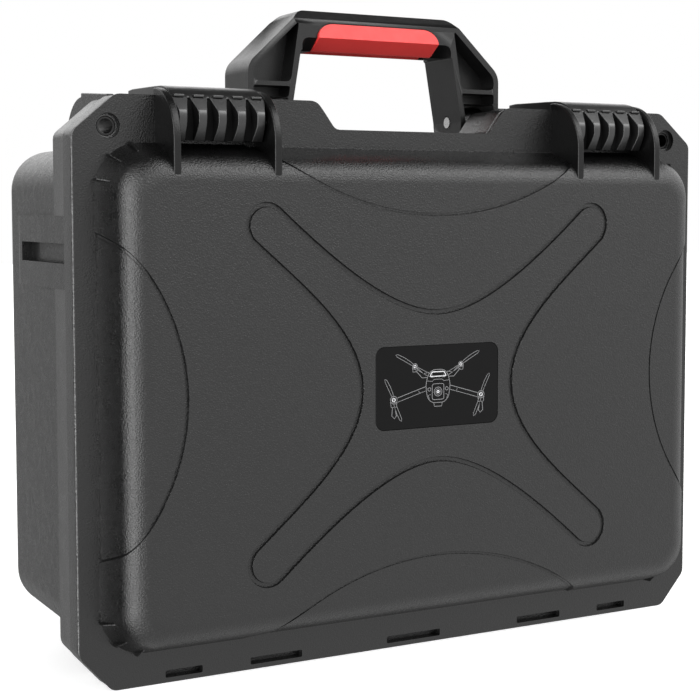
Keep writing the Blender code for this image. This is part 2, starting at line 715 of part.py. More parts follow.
def build_bush(name, side, mat):
    centre = (side * LOCK_X, LOCK_Z)
    tube = prism_y(name, circle(centre, BUSH_OUTER), RIM_FRONT + GAP, RIM_REAR - GAP, mat)
    return cut(tube, prism_y("bore", circle(centre, BUSH_INNER), 0.0, RIM_REAR + 5.0))


def build_handle_pin(name, side, mat):
    span = sorted((side * (leg_inner_x(HANDLE_PIVOT[1]) - 0.2), side * (HANDLE_HALF_X - 0.6)))
    return prism_x(name, circle(HANDLE_PIVOT, HANDLE_PIN_RADIUS), span[0], span[1], mat)


def build_latch_pin(name, side, mat):
    reach = EAR_INNER + EAR_THICK - 0.4
    return prism_x(name, circle(LATCH_PIVOT, LATCH_PIN_RADIUS, 12), side * LATCH_X - reach,
                   side * LATCH_X + reach, mat)


# ---------------------------------------------------------------- assembly

def build_case():
    shell = material("shell_plastic", (0.062, 0.062, 0.064), 0.5)
    latch_plastic = material("latch_plastic", (0.03, 0.03, 0.032), 0.4)
    handle_plastic = material("handle_plastic", (0.04, 0.04, 0.042), 0.42)
    red_grip = material("red_grip", (0.75, 0.045, 0.04), 0.45)
    gasket = material("gasket_rubber", (0.02, 0.02, 0.02), 0.7)
    foam = material("foam", (0.035, 0.035, 0.037), 0.95)
    label = material("label", (0.012, 0.012, 0.013), 0.3)
    steel = material("steel", (0.62, 0.62, 0.62), 0.28, 1.0)

    build_base(shell)
    seal_ring("lid_seal", 2.0, 5.0, LID_PLATE + 0.4, 6.0, gasket)
    build_foam(foam)
    for name, left, right in HINGE_PINS:
        prism_x(name, circle(HINGE, HINGE_PIN_RADIUS, 12), left, right, steel)

    lid_axis = axis_empty("lid_hinge_axis", at(0.0, *HINGE))
    lid = build_lid(shell)
    plate = build_label(label)
    pad = build_lid_foam(foam)
    hang_on(lid_axis, lid, plate, pad)

    handle_axis = axis_empty("handle_axis", at(0.0, *HANDLE_PIVOT))
    hang_on(handle_axis, build_handle(handle_plastic), build_grip(red_grip))

    for side, word in ((-1, "left"), (1, "right")):
        build_bush("lock_bush_" + word, side, steel)
        build_handle_pin("handle_pin_" + word, side, steel)
        latch_axis = axis_empty("latch_axis_" + word, at(side * LATCH_X, *LATCH_PIVOT))
        hang_on(latch_axis, build_latch("latch_" + word, side, latch_plastic))
        pin = build_latch_pin("latch_pin_" + word, side, steel)
        hang_on(lid_axis, pin)


for scene_object in list(bpy.data.objects):
    bpy.data.objects.remove(scene_object)
build_case()
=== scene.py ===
"""Looks of the hard carrying case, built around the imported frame.

The case stands upright on its hinge side: +X runs along the hinge, -Y out of the lid's front panel and
+Z up.  Sizes are millimetres.  A place is written (x, depth, z), where depth counts backwards from the
front face of the lid's flange.
"""

import json
import math

import bmesh
import bpy
from mathutils import Matrix, Vector


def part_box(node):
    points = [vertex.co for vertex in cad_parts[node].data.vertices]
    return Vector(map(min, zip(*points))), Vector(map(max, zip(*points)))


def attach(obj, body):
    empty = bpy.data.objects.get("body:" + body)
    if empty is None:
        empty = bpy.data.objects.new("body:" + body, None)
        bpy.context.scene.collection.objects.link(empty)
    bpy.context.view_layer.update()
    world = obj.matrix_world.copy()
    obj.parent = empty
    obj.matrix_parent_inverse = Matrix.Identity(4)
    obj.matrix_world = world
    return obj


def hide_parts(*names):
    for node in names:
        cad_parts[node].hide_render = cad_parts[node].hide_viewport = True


MM = 0.001
SHARP = math.radians(28)

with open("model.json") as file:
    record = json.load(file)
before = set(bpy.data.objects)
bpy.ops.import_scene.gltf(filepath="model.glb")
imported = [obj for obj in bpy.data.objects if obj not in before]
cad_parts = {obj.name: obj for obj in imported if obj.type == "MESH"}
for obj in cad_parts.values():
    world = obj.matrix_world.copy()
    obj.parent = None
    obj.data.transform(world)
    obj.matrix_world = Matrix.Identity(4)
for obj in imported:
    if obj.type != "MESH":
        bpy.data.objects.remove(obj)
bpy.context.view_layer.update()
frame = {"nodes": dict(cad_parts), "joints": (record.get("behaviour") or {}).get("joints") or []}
lid_low, lid_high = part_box("lid_shell")
tub_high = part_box("base_shell")[1]
joints = {joint["name"]: Vector(joint["pos_m"]) for joint in frame["joints"]}

DOME_REACH = 25.3
FRONT_Y = lid_low.y / MM + DOME_REACH
FLANGE_HALF = lid_high.x / MM
TUB_REAR = tub_high.y / MM - FRONT_Y


def depth_z(point):
    """A joint's place as (depth, z)."""
    return point.y / MM - FRONT_Y, point.z / MM


HINGE = depth_z(joints["lid_hinge"])
LATCH_PIVOT = depth_z(joints["latch_right_pivot"])
LATCH_X = joints["latch_right_pivot"].x / MM
HANDLE_PIVOT = depth_z(joints["handle_pivot"])
LOCK_X = sum(c.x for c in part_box("lock_bush_right")) / 2 / MM
LOCK_Z = sum(c.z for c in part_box("lock_bush_right")) / 2 / MM
LABEL = [c / MM for c in (*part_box("label_plate")[0].xz, *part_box("label_plate")[1].xz)]
LABEL_HALF, LABEL_RADIUS = (LABEL[2] - LABEL[0]) / 2, 5.0
PANEL_Z = (LABEL[1] + LABEL[3]) / 2

# Flange and rim: the octagon's top edge, its cut corners (across, up) and the depths of the rim's steps.
FLANGE_TOP = 295.6
CHAMFER_TOP = (21.7, 18.3)
CHAMFER_LOW = (16.5, 18.5)
LID_PLATE = 2.6
RIM_FRONT = 3.4
RIM_STEP = 16.2
RIM_REAR = 35.1
NOTCH = ((47.8, 281.0), (54.6, 290.4), (57.9, 294.4), (61.0, 295.6))

# Dome and tub: half width, low edge and high edge, then the tub's corner radius.
DOME = (179.6, 17.3, 272.0)
DOME_RADIUS, DOME_RADIUS_LOSS = 24.0, 0.73
DOME_DRAFT = 20.0
DOME_FILLET = 14.5
DOME_PANEL_INSET = 19.3
LID_WALL = 3.0
TUB = (186.5, 17.0, 271.5, 22.0)
TUB_FILLET, TUB_INNER_FILLET = 13.0, 9.0
TUB_WALL = 4.0
# Cutters that leave through a side end here.
BEYOND = 196.0


# ---- mesh helpers

def at(x, depth, z):
    return Vector((x * MM, (FRONT_Y + depth) * MM, z * MM))


def new_object(name, mesh):
    obj = bpy.data.objects.new(name, mesh)
    bpy.context.scene.collection.objects.link(obj)
    return obj


def as_object(name, bm):
    mesh = bpy.data.meshes.new(name)
    bm.to_mesh(mesh)
    bm.free()
    return new_object(name, mesh)


def from_bmesh(name, bm):
    bmesh.ops.recalc_face_normals(bm, faces=bm.faces)
    return as_object(name, bm)


def bridge(bm, near, far):
    """Faces between two closed loops of vertices."""
    for i in range(len(near)):
        j = (i + 1) % len(near)
        bm.faces.new((near[i], near[j], far[j], far[i]))


def loft(name, rings, ring_again=False):
    """Solid through rings of equal length.  ring_again joins the last ring to the first."""
    bm = bmesh.new()
    loops = [[bm.verts.new(point) for point in ring] for ring in rings]
    for near, far in list(zip(loops, loops[1:])) + ([(loops[-1], loops[0])] if ring_again else []):
        bridge(bm, near, far)
    if not ring_again:
        bm.faces.new(reversed(loops[0]))
        bm.faces.new(loops[-1])
    return from_bmesh(name, bm)


def prism_y(name, points, front, rear):
    return loft(name, [[at(x, d, z) for x, z in points] for d in (front, rear)])


def prism_x(name, points, left, right):
    return loft(name, [[at(x, d, z) for d, z in points] for x in (left, right)])


def prism_z(name, points, low, high):
    return loft(name, [[at(x, d, z) for x, d in points] for z in (low, high)])


def box(name, x, depth, z):
    return prism_y(name, ((x[0], z[0]), (x[1], z[0]), (x[1], z[1]), (x[0], z[1])), *depth)


def span(side, near, far):
    return sorted((side * near, side * far))


def arc(centre, radius, start, end, steps):
    turns = [math.radians(start + (end - start) * i / steps) for i in range(steps + 1)]
    return [(centre[0] + radius * math.cos(a), centre[1] + radius * math.sin(a)) for a in turns]


def circle(centre, radius, steps=48):
    return arc(centre, radius, 0.0, 360.0 * (steps - 1) / steps, steps - 1)


def round_outline(half, low, high, radius, inset=0.0, steps=12):
    """Rounded rectangle of (x, z) points, anticlockwise from the right side's top corner."""
    r = max(radius - inset, 0.6)
    left, right = -half + inset, half - inset
    low, high = low + inset, high - inset
    centres = ((right - r, high - r), (left + r, high - r), (left + r, low + r), (right - r, low + r))
    return [p for k, centre in enumerate(centres) for p in arc(centre, r, 90.0 * k, 90.0 * (k + 1), steps)]


def soften(points, radius, steps=3):
    """Round the corners of a closed outline of 2D points, by one radius or one for each corner."""
    result = []
    count = len(points)
    radii = [radius] * count if isinstance(radius, (int, float)) else radius
    for i, point in enumerate(points):
        if not radii[i]:
            result.append(tuple(point))
            continue
        here = Vector(point)
        before, after = Vector(points[i - 1]) - here, Vector(points[(i + 1) % count]) - here
        r = min(radii[i], 0.48 * before.length, 0.48 * after.length)
        a, b = here + before.normalized() * r, here + after.normalized() * r
        for k in range(steps + 1):
            t = k / steps
            result.append(tuple((1 - t) ** 2 * a + 2 * t * (1 - t) * here + t * t * b))
    return result


def mirrored(points):
    return [(-x, z) for x, z in reversed(points)]


def ring_at(points, depth):
    return [at(x, depth, z) for x, z in points]


def remove(obj):
    mesh = obj.data
    bpy.data.objects.remove(obj)
    bpy.data.meshes.remove(mesh)


def combine(obj, operation, tools):
    for tool in tools:
        modifier = obj.modifiers.new("tool", "BOOLEAN")
        modifier.operation = operation
        modifier.object = tool
    graph = bpy.context.evaluated_depsgraph_get()
    mesh = bpy.data.meshes.new_from_object(obj.evaluated_get(graph))
    old = obj.data
    obj.modifiers.clear()
    obj.data = mesh
    bpy.data.meshes.remove(old)
    for tool in tools:
        remove(tool)
    return obj


def cut(obj, *tools):
    return combine(obj, "DIFFERENCE", tools)


def fuse(obj, *tools):
    return combine(obj, "UNION", tools)


def merge(name, objects):
    """Several solids as one mesh, left as they are."""
    bm = bmesh.new()
    for obj in objects:
        bm.from_mesh(obj.data)
        remove(obj)
    return as_object(name, bm)


def piece(obj, body, material, bevel=0.0, segments=2, angle=30.0, replaces=()):
    """Edge rounding, shading, material and the piece's place in the frame."""
    obj.data.materials.clear()
    obj.data.materials.append(material)
    obj.data.shade_smooth()
    if bevel:
        modifier = obj.modifiers.new("edges", "BEVEL")
        modifier.width = bevel * MM
        modifier.segments = segments
        modifier.limit_method = "ANGLE"
        modifier.angle_limit = math.radians(angle)
        modifier.use_clamp_overlap = True
        modifier.miter_outer = "MITER_ARC"
    else:
        obj.data.set_sharp_from_angle(angle=SHARP)
    weighted = obj.modifiers.new("normals", "WEIGHTED_NORMAL")
    weighted.keep_sharp = True
    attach(obj, body)
    if replaces:
        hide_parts(*replaces)


# ---- materials

class Tree:
    """Shortcuts shared by the material and the world node trees."""

    def __init__(self, owner):
        owner.use_nodes = True
        self.tree = owner.node_tree

    def feed(self, socket, value):
        """Link an output to the socket, or store a number or colour in it."""
        if isinstance(value, bpy.types.NodeSocket):
            self.tree.links.new(value, socket)
        else:
            socket.default_value = value

    def add(self, kind, **settings):
        """A node with its properties set and its inputs fed; an input's name has underscores for spaces."""
        node = self.tree.nodes.new(kind)
        for key, value in settings.items():
            if hasattr(node, key):
                setattr(node, key, value)
            else:
                self.feed(node.inputs[key.replace("_", " ")], value)
        return node

    def maths(self, operation, a, b):
        node = self.add("ShaderNodeMath", operation=operation)
        for socket, value in zip(node.inputs, (a, b)):
            self.feed(socket, value)
        return node.outputs[0]


class Nodes(Tree):
    """A small builder for node materials."""

    def __init__(self, name):
        self.material = bpy.data.materials.new(name)
        super().__init__(self.material)
        self.place = self.add("ShaderNodeTexCoord").outputs["Object"]

    def noise(self, scale, detail=2.0, roughness=0.5):
        return self.add("ShaderNodeTexNoise", Vector=self.place, Scale=scale, Detail=detail,
                        Roughness=roughness).outputs["Fac"]

    def cells(self, scale, smooth=0.4):
        return self.add("ShaderNodeTexVoronoi", feature="SMOOTH_F1", Vector=self.place, Scale=scale,
                        Smoothness=smooth).outputs["Distance"]

    def fit(self, value, low, high, from_low=0.3, from_high=0.7):
        return self.add("ShaderNodeMapRange", Value=value, From_Min=from_low, From_Max=from_high, To_Min=low,
                        To_Max=high).outputs["Result"]

    def mix(self, factor, a, b):
        node = self.add("ShaderNodeMix", data_type="RGBA", Factor=factor)
        self.feed(node.inputs[6], a)
        self.feed(node.inputs[7], b)
        return node.outputs[2]

    def bump(self, height, distance, strength=1.0, **before):
        return self.add("ShaderNodeBump", Strength=strength, Distance=distance * MM, Height=height,
                        **before).outputs["Normal"]

    def shade(self, **inputs):
        """Feed the shader's inputs and hand over the material."""
        shader = self.tree.nodes["Principled BSDF"]
        for name, value in inputs.items():
            self.feed(shader.inputs[name.replace("_", " ")], value)
        return self.material


PLASTIC_TINT = (1.0, 1.0, 1.02)
WHITE = (1.0, 1.0, 1.0, 1.0)


def tone(value, tint=(1.0, 1.0, 1.0)):
    return (*(value * t for t in tint), 1.0)


def plastic(name, value, roughness, grain, grain_size, specular=0.5):
    """Moulded plastic: pebbled grain, a little cloudiness and fine sheen changes."""
    n = Nodes(name)
    speck, fine = n.noise(1000.0 / grain_size, 2.0, 0.6), n.noise(2400.0 / grain_size, 2.0)
    dark, light, pale = (tone(value * share, PLASTIC_TINT) for share in (0.9, 1.1, 1.0 + 0.6 * grain))
    base = n.mix(n.fit(n.noise(9.0, 3.0), 0.0, 1.0), dark, light)
    patches, dots = n.fit(n.noise(140.0, 3.0), -0.03, 0.03), n.fit(speck, roughness + 0.04, roughness - 0.04)
    height = n.maths("ADD", n.cells(1000.0 / grain_size), n.maths("MULTIPLY", fine, 0.6))
    return n.shade(Base_Color=n.mix(n.fit(speck, 0.0, 0.6), base, pale), Specular_IOR_Level=specular,
                   Roughness=n.maths("ADD", patches, dots),
                   Normal=n.bump(n.noise(14.0, 2.0), 0.05, 0.3, Normal=n.bump(height, 0.18 * grain)))


def cloudy(name, cloud, dark, pale, scale, rough, pores, depth, **more):
    """Soft plastic or rubber: cloudy colour, roughness in patches of the given scale, and fine pores."""
    n = Nodes(name)
    return n.shade(Base_Color=n.mix(n.fit(n.noise(*cloud), 0.0, 1.0), dark, pale),
                   Roughness=n.fit(n.noise(scale, 3.0), *rough),
                   Normal=n.bump(n.noise(pores, 3.0), depth), **more)


def metal(name, value=0.66, roughness=0.28):
    """Brushed metal, or the same metal made near black where the value is low, which the padlock bushes use
    as painted shade.
    """
    n = Nodes(name)
    lines = n.noise(700.0, 4.0)
    colour = n.mix(n.fit(lines, 0.0, 1.0), tone(value * 0.9), tone(value * 1.1))
    return n.shade(Base_Color=colour, Metallic=1.0, Normal=n.bump(lines, 0.01),
                   Roughness=n.fit(lines, roughness - 0.07, roughness + 0.07))


def foam_material(name, value):
    """Open-cell foam: pores darkened with painted shade, between short struts."""
    n = Nodes(name)
    pores, coarse = n.cells(520.0, 0.25), n.noise(60.0, 4.0, 0.6)
    struts = n.mix(n.fit(coarse, 0.0, 1.0), tone(value * 0.85), tone(value * 1.15))
    # The pores are mixed down to a third of the value: painted shade in the foam's hollows.
    return n.shade(Base_Color=n.mix(n.fit(pores, 0.0, 1.0, 0.25, 0.62), tone(value * 0.35), struts),
                   Roughness=0.95, Specular_IOR_Level=0.15, Sheen_Weight=0.3, Sheen_Roughness=0.6,
                   Normal=n.bump(coarse, 1.2, 0.4, Normal=n.bump(pores, 0.5, 0.8)))


# Plastics: name, value, roughness, strength and size of the grain, specular level.
SHELL = plastic("case_shell_grained", 0.0015, 0.29, 1.0, 0.75)
SHELL_SMOOTH = plastic("case_shell_smooth", 0.0012, 0.29, 0.7, 0.75)
RIM = plastic("case_shell_rim", 0.003, 0.31, 0.8, 0.75, 1.0)
LATCH = plastic("case_latch_satin", 0.002, 0.32, 0.12, 0.6, 0.75)
HANDLE = plastic("case_handle_satin", 0.002, 0.34, 0.3, 0.6, 0.42)
# The latch core is rough and barely reflective, so it reads as painted shade in the deep gaps between the
# thumb ribs.
LATCH_CORE_SHADE = plastic("case_latch_core_shade", 0.0018, 0.62, 0.1, 0.6, 0.06)
LABEL_BLACK = plastic("case_label_black", 0.003, 0.40, 0.06, 0.5, 0.1)
LABEL_LINES = plastic("case_label_lines", 0.15, 0.45, 0.1, 0.5)
LABEL_MARKS = plastic("case_label_marks", 0.5, 0.45, 0.1, 0.5)
# The ears get a darker, less reflective copy of the shell plastic: painted shade for their side faces beside
# the flange.
EARS_SHADED = plastic("case_ear_shaded", 0.0012, 0.32, 0.35, 0.75, 0.28)
GRIP = cloudy("case_grip_red", (30.0, 3.0), (0.50, 0.014, 0.012, 1.0), (0.58, 0.020, 0.017, 1.0), 220.0,
              (0.42, 0.52), 1500.0, 0.02, Specular_IOR_Level=0.6, Sheen_Weight=0.2, Sheen_Roughness=0.4)
STEEL = metal("case_steel")
# The padlock bushes are near-black metal: painted shade, so they read as the dark inside of the holes.
LOCK_HOLE_SHADE = metal("case_lock_hole_shade", 0.035, 0.34)
GASKET = cloudy("case_gasket", (60.0, 4.0), tone(0.014), tone(0.024), 300.0, (0.6, 0.75), 1200.0, 0.03)
FOAM = foam_material("case_foam", 0.04)


# ---- flange and rim outlines

def flange_outline(inset=0.0, low=0.0):
    """Octagon with the lowered middle of its top edge, as (x, z) points."""
    half = FLANGE_HALF - inset
    skew = 0.6 * inset
    right = [(half, low + CHAMFER_LOW[1] + skew), (half, FLANGE_TOP - CHAMFER_TOP[1] - skew),
             (half - CHAMFER_TOP[0] + 0.4 * inset, FLANGE_TOP - inset)]
    right += [(x, z - inset) for x, z in reversed(NOTCH)]
    bottom = [(FLANGE_HALF - CHAMFER_LOW[0] - 0.4 * inset, low + inset)]
    left = mirrored(right)
    return soften(right + left + mirrored(bottom) + bottom, 2.6)


def tub_ring(inset, depth):
    return ring_at(round_outline(*TUB, inset=inset), depth)


def dome_outline(inset=0.0):
    return round_outline(*DOME, DOME_RADIUS + (1 - DOME_RADIUS_LOSS) * inset, inset=inset, steps=14)


def dome_profile(thinner, rear, steps=10):
    """(inset, depth) from depth rear to the panel, on the dome's outside moved inwards by thinner."""
    radius = DOME_FILLET - thinner
    centre = DOME_FILLET - DOME_REACH
    turns = [math.radians(DOME_DRAFT + (90.0 - DOME_DRAFT) * i / steps) for i in range(steps + 1)]
    fillet = [(DOME_PANEL_INSET - radius * math.cos(a), centre - radius * math.sin(a)) for a in turns]
    inset, depth = fillet[0]
    return [(inset - math.tan(math.radians(DOME_DRAFT)) * (rear - depth), rear)] + fillet


def dome_rings(thinner, rear, steps=10):
    return [ring_at(dome_outline(inset), depth) for inset, depth in dome_profile(thinner, rear, steps)]


# ---- lid

# Circles (x, z, radius) whose arcs lower the panel's four sides by one step, with a dark line along it.
ARCS = ((-247.5, 147.0, 106.0), (247.5, 147.0, 106.0), (0.0, 394.5, 158.5), (0.0, -102.0, 158.0))
ARC_STEP, LINE_WIDTH, LINE_DEPTH = 0.9, 1.4, 0.5
ARC_SIDES = 160
EAR_WIDTH, EAR_EDGES = 4.0, (-28.75, 24.75)
GUSSET_ANGLES, GUSSET_HALF = (14.0, 46.0, 76.0), 0.45
HINGE_KNUCKLES = ((-135.3, 10.1), (-83.4, 14.9), (0.0, 16.9), (83.4, 14.9), (135.3, 10.1))
KNUCKLE_RADIUS, HINGE_BORE, SLOT_HALF, SLOT_INNER = 4.2, 2.1, 1.9, 1.85


def bezier(points, steps):
    """Points of a cubic curve, without its last one."""
    a, b, c, d = (Vector(p) for p in points)
    turns = [i / steps for i in range(steps)]
    return [tuple((1 - t) ** 3 * a + 3 * t * (1 - t) ** 2 * b + 3 * t * t * (1 - t) * c + t ** 3 * d)
            for t in turns]


def groove_path():
    """Closed outline of the X: four round arm ends joined by four concave sides."""
    end, radius = (99.2, 85.4), 10.3
    waist_z, waist_x = 39.2, 45.9
    top_join, side_join = (92.4, 93.1), (106.9, 77.9)
    quarter = bezier(((0.0, waist_z), (28.0, waist_z), (63.5, 67.5), top_join), 14)
    turn_from = math.degrees(math.atan2(top_join[1] - end[1], top_join[0] - end[0]))
    turn_to = math.degrees(math.atan2(side_join[1] - end[1], side_join[0] - end[0]))
    quarter += arc(end, radius, turn_from, turn_to, 12)[:-1]
    quarter += bezier((side_join, (80.6, 54.6), (waist_x, 30.0), (waist_x, 0.0)), 14)
    right = quarter + [(waist_x, 0.0)] + [(x, -z) for x, z in reversed(quarter[1:])] + [(0.0, -waist_z)]
    left = mirrored(right[1:-1])
    return [(x, PANEL_Z + z) for x, z in right + left]


def sweep(name, path, section):
    """A closed tube along a closed (x, z) path; section points are (across, depth)."""
    count = len(path)
    rings = []
    for across, depth in section:
        ring = []
        for i in range(count):
            ahead = Vector(path[(i + 1) % count]) - Vector(path[i - 1])
            normal = Vector((ahead.y, -ahead.x)).normalized()
            ring.append(at(path[i][0] + normal.x * across, depth, path[i][1] + normal.y * across))
        rings.append(ring)
    return loft(name, rings, ring_again=True)


def disc(name, place, near, far):
    """Cutter between two circles round an arc's centre, each given as (radius, depth)."""
    return loft(name, [ring_at(circle(place, radius, ARC_SIDES), depth) for radius, depth in (near, far)])


def label_recess(grow, depth):
    half, radius = LABEL_HALF + grow, LABEL_RADIUS + grow
    return ring_at(round_outline(half, LABEL[1] - grow, LABEL[3] + grow, radius), depth)


def build_dome():
    """Outer skin with its panel features, and the hollow behind it."""
    front, rear, surface = -40.0, 1.5, -DOME_REACH
    dome = loft("lid_dome", list(reversed(dome_rings(0.0, rear))) + dome_rings(LID_WALL, rear, 5))

    for x, z, radius in ARCS:
        place = (x, z)
        step, line = (disc(name, place, (radius, -0.35), (radius, front)) for name in ("step", "line"))
        cut(step, loft("core", dome_rings(ARC_STEP, 3.0)))
        inner = radius - LINE_WIDTH
        cut(line, disc("inside", place, (inner, 1.0), (inner, front - 1.0)),
            loft("core", dome_rings(ARC_STEP + LINE_DEPTH, 3.0)))
        lip = disc("lip", place, (radius + 0.22, surface - 0.05), (radius - 0.15, surface + ARC_STEP - 0.05))
        for tool in (step, line, lip):
            cut(dome, tool)

    section = ((-1.55, surface - 0.3), (1.55, surface - 0.3), (1.2, surface + 0.3), (1.0, surface + 1.3),
               (-1.0, surface + 1.3), (-1.2, surface + 0.3))
    groove = sweep("groove", groove_path(), section)
    recess = loft("recess", [label_recess(0.25, -26.0), label_recess(0.1, surface + 1.5)])
    cut(dome, groove, recess)
    piece(dome, "lid", SHELL, replaces=("lid_shell",))


def build_lid_flange():
    bevel = ((0.0, 0.0), (0.0, 0.9), (0.55, 1.05), (0.55, LID_PLATE))
    rings = [ring_at(flange_outline(inset, low=0.3), depth) for inset, depth in bevel]
    plate = loft("lid_flange", rings)
    near, far = -2.0, 6.0
    slot_z = (HINGE[1] - SLOT_HALF, HINGE[1] + SLOT_HALF)
    tools = [prism_y("mouth", dome_outline(2.6), near, far)]
    for centre, half in HINGE_KNUCKLES:
        left, right = centre - half, centre + half
        corners = ((left, slot_z[0]), (right, slot_z[0]), (right, slot_z[1]), (left, slot_z[1]))
        tools.append(prism_y("slot", soften(corners, 0.8), near, far))
    for side in (-1, 1):
        dish = ((6.4, -0.2), (6.15, 0.1), (6.05, 0.5), (6.05, LID_PLATE + 0.2))
        tools.append(loft("lock", [ring_at(circle((side * LOCK_X, LOCK_Z), radius), depth)
                                   for radius, depth in dish]))
    cut(plate, *tools)
    piece(plate, "lid", SHELL_SMOOTH)

    knuckles = []
    root = LID_PLATE - 0.6
    profile = [(root, HINGE[1] - KNUCKLE_RADIUS)] + arc(HINGE, KNUCKLE_RADIUS, -90.0, 90.0, 14)
    profile.append((root, HINGE[1] + KNUCKLE_RADIUS))
    for centre, half in HINGE_KNUCKLES:
        left, right = centre - half, centre + half
        knuckle = prism_x("knuckle", profile, left, right)
        cut(knuckle, prism_x("bore", circle(HINGE, HINGE_BORE, 20), left - 1, right + 1))
        cut(knuckle, box("slot", (left + 0.4, right - 0.4), (-1.0, 5.6),
                         (HINGE[1] - SLOT_INNER, HINGE[1] + SLOT_INNER)))
        knuckles.append(knuckle)
    piece(merge("lid_knuckles", knuckles), "lid", SHELL_SMOOTH)


def ear_profile():
    """Curved plate from the flange's top down into the dome's front edge."""
    crown = arc((1.6, 272.3), 26.8, 96.0, 180.0, 16)
    return ([(2.3, 268.0), (2.3, 299.1), (-0.6, 299.1)] + crown[1:]
            + [(-25.2, 257.6), (-24.4, 253.4), (-20.0, 251.0), (-6.0, 256.0)])


def build_ears():
    lefts = [side * LATCH_X + edge for side in (-1, 1) for edge in EAR_EDGES]
    ears = [prism_x("ear", ear_profile(), left, left + EAR_WIDTH) for left in lefts]
    piece(merge("lid_latch_ears", ears), "lid", EARS_SHADED, bevel=0.8, segments=3)


def build_corner_ribs():
    """Small triangular gussets between the dome's corners and the flange."""
    half, low, high = DOME
    corners = ((DOME_RADIUS - 5.0, 0.5), (DOME_RADIUS + 1.3, 0.5), (DOME_RADIUS + 0.9, -4.4),
               (DOME_RADIUS - 3.6, -10.3), (DOME_RADIUS - 7.0, -10.3))
    ribs = []
    for sx in (-1, 1):
        for sz, level in ((1, high), (-1, low)):
            centre = Vector((sx * (half - DOME_RADIUS), level - sz * DOME_RADIUS))
            for angle in GUSSET_ANGLES:
                turn = math.radians(angle)
                along = Vector((sx * math.cos(turn), sz * math.sin(turn)))
                across = Vector((-along.y, along.x)) * GUSSET_HALF
                rings = []
                for shift in (across, -across):
                    places = [(centre + along * reach + shift, depth) for reach, depth in corners]
                    rings.append([at(place.x, depth, place.y) for place, depth in places])
                ribs.append(loft("rib", rings))
    piece(merge("lid_corner_ribs", ribs), "lid", SHELL_SMOOTH, bevel=0.15, segments=1)


# ---- label

LINE_HEIGHT = 0.16


def stroke(name, path, width, front, closed=False):
    """A flat line of constant width on the label, from (x, z) points."""
    points = [Vector(p) for p in path]
    count = len(points)
    left, right = [], []
    for i, point in enumerate(points):
        before = points[i - 1] if (i or closed) else point
        after = points[(i + 1) % count] if (i < count - 1 or closed) else point
        ahead = (after - before).normalized()
        normal = Vector((-ahead.y, ahead.x)) * width / 2
        left.append(point + normal)
        right.append(point - normal)
    bm = bmesh.new()
    layers = [[[bm.verts.new(at(p.x, d, p.y)) for p in edge] for edge in (left, right)]
              for d in (front, front + LINE_HEIGHT)]
    (fl, fr), (bl, br) = layers
    for i in range(count if closed else count - 1):
        j = (i + 1) % count
        for a, b in ((fl, fr), (fr, br), (br, bl), (bl, fl)):
            bm.faces.new((a[i], a[j], b[j], b[i]))
    if not closed:
        bm.faces.new((fl[0], fr[0], br[0], bl[0]))
        bm.faces.new((bl[-1], br[-1], fr[-1], fl[-1]))
    return from_bmesh(name, bm)


def blade(centre, angle, length, width):
    """Outline of one twisted propeller blade."""
    turn = Matrix.Rotation(math.radians(angle), 2)
    shape = ((0.0, 0.25), (0.25, 0.8), (0.6, 1.0), (0.92, 0.7), (1.0, 0.1), (0.9, -0.35), (0.5, -0.3),
             (0.0, -0.25))
    return [tuple(Vector(centre) + turn @ Vector((x * length, z * width / 2))) for x, z in shape]


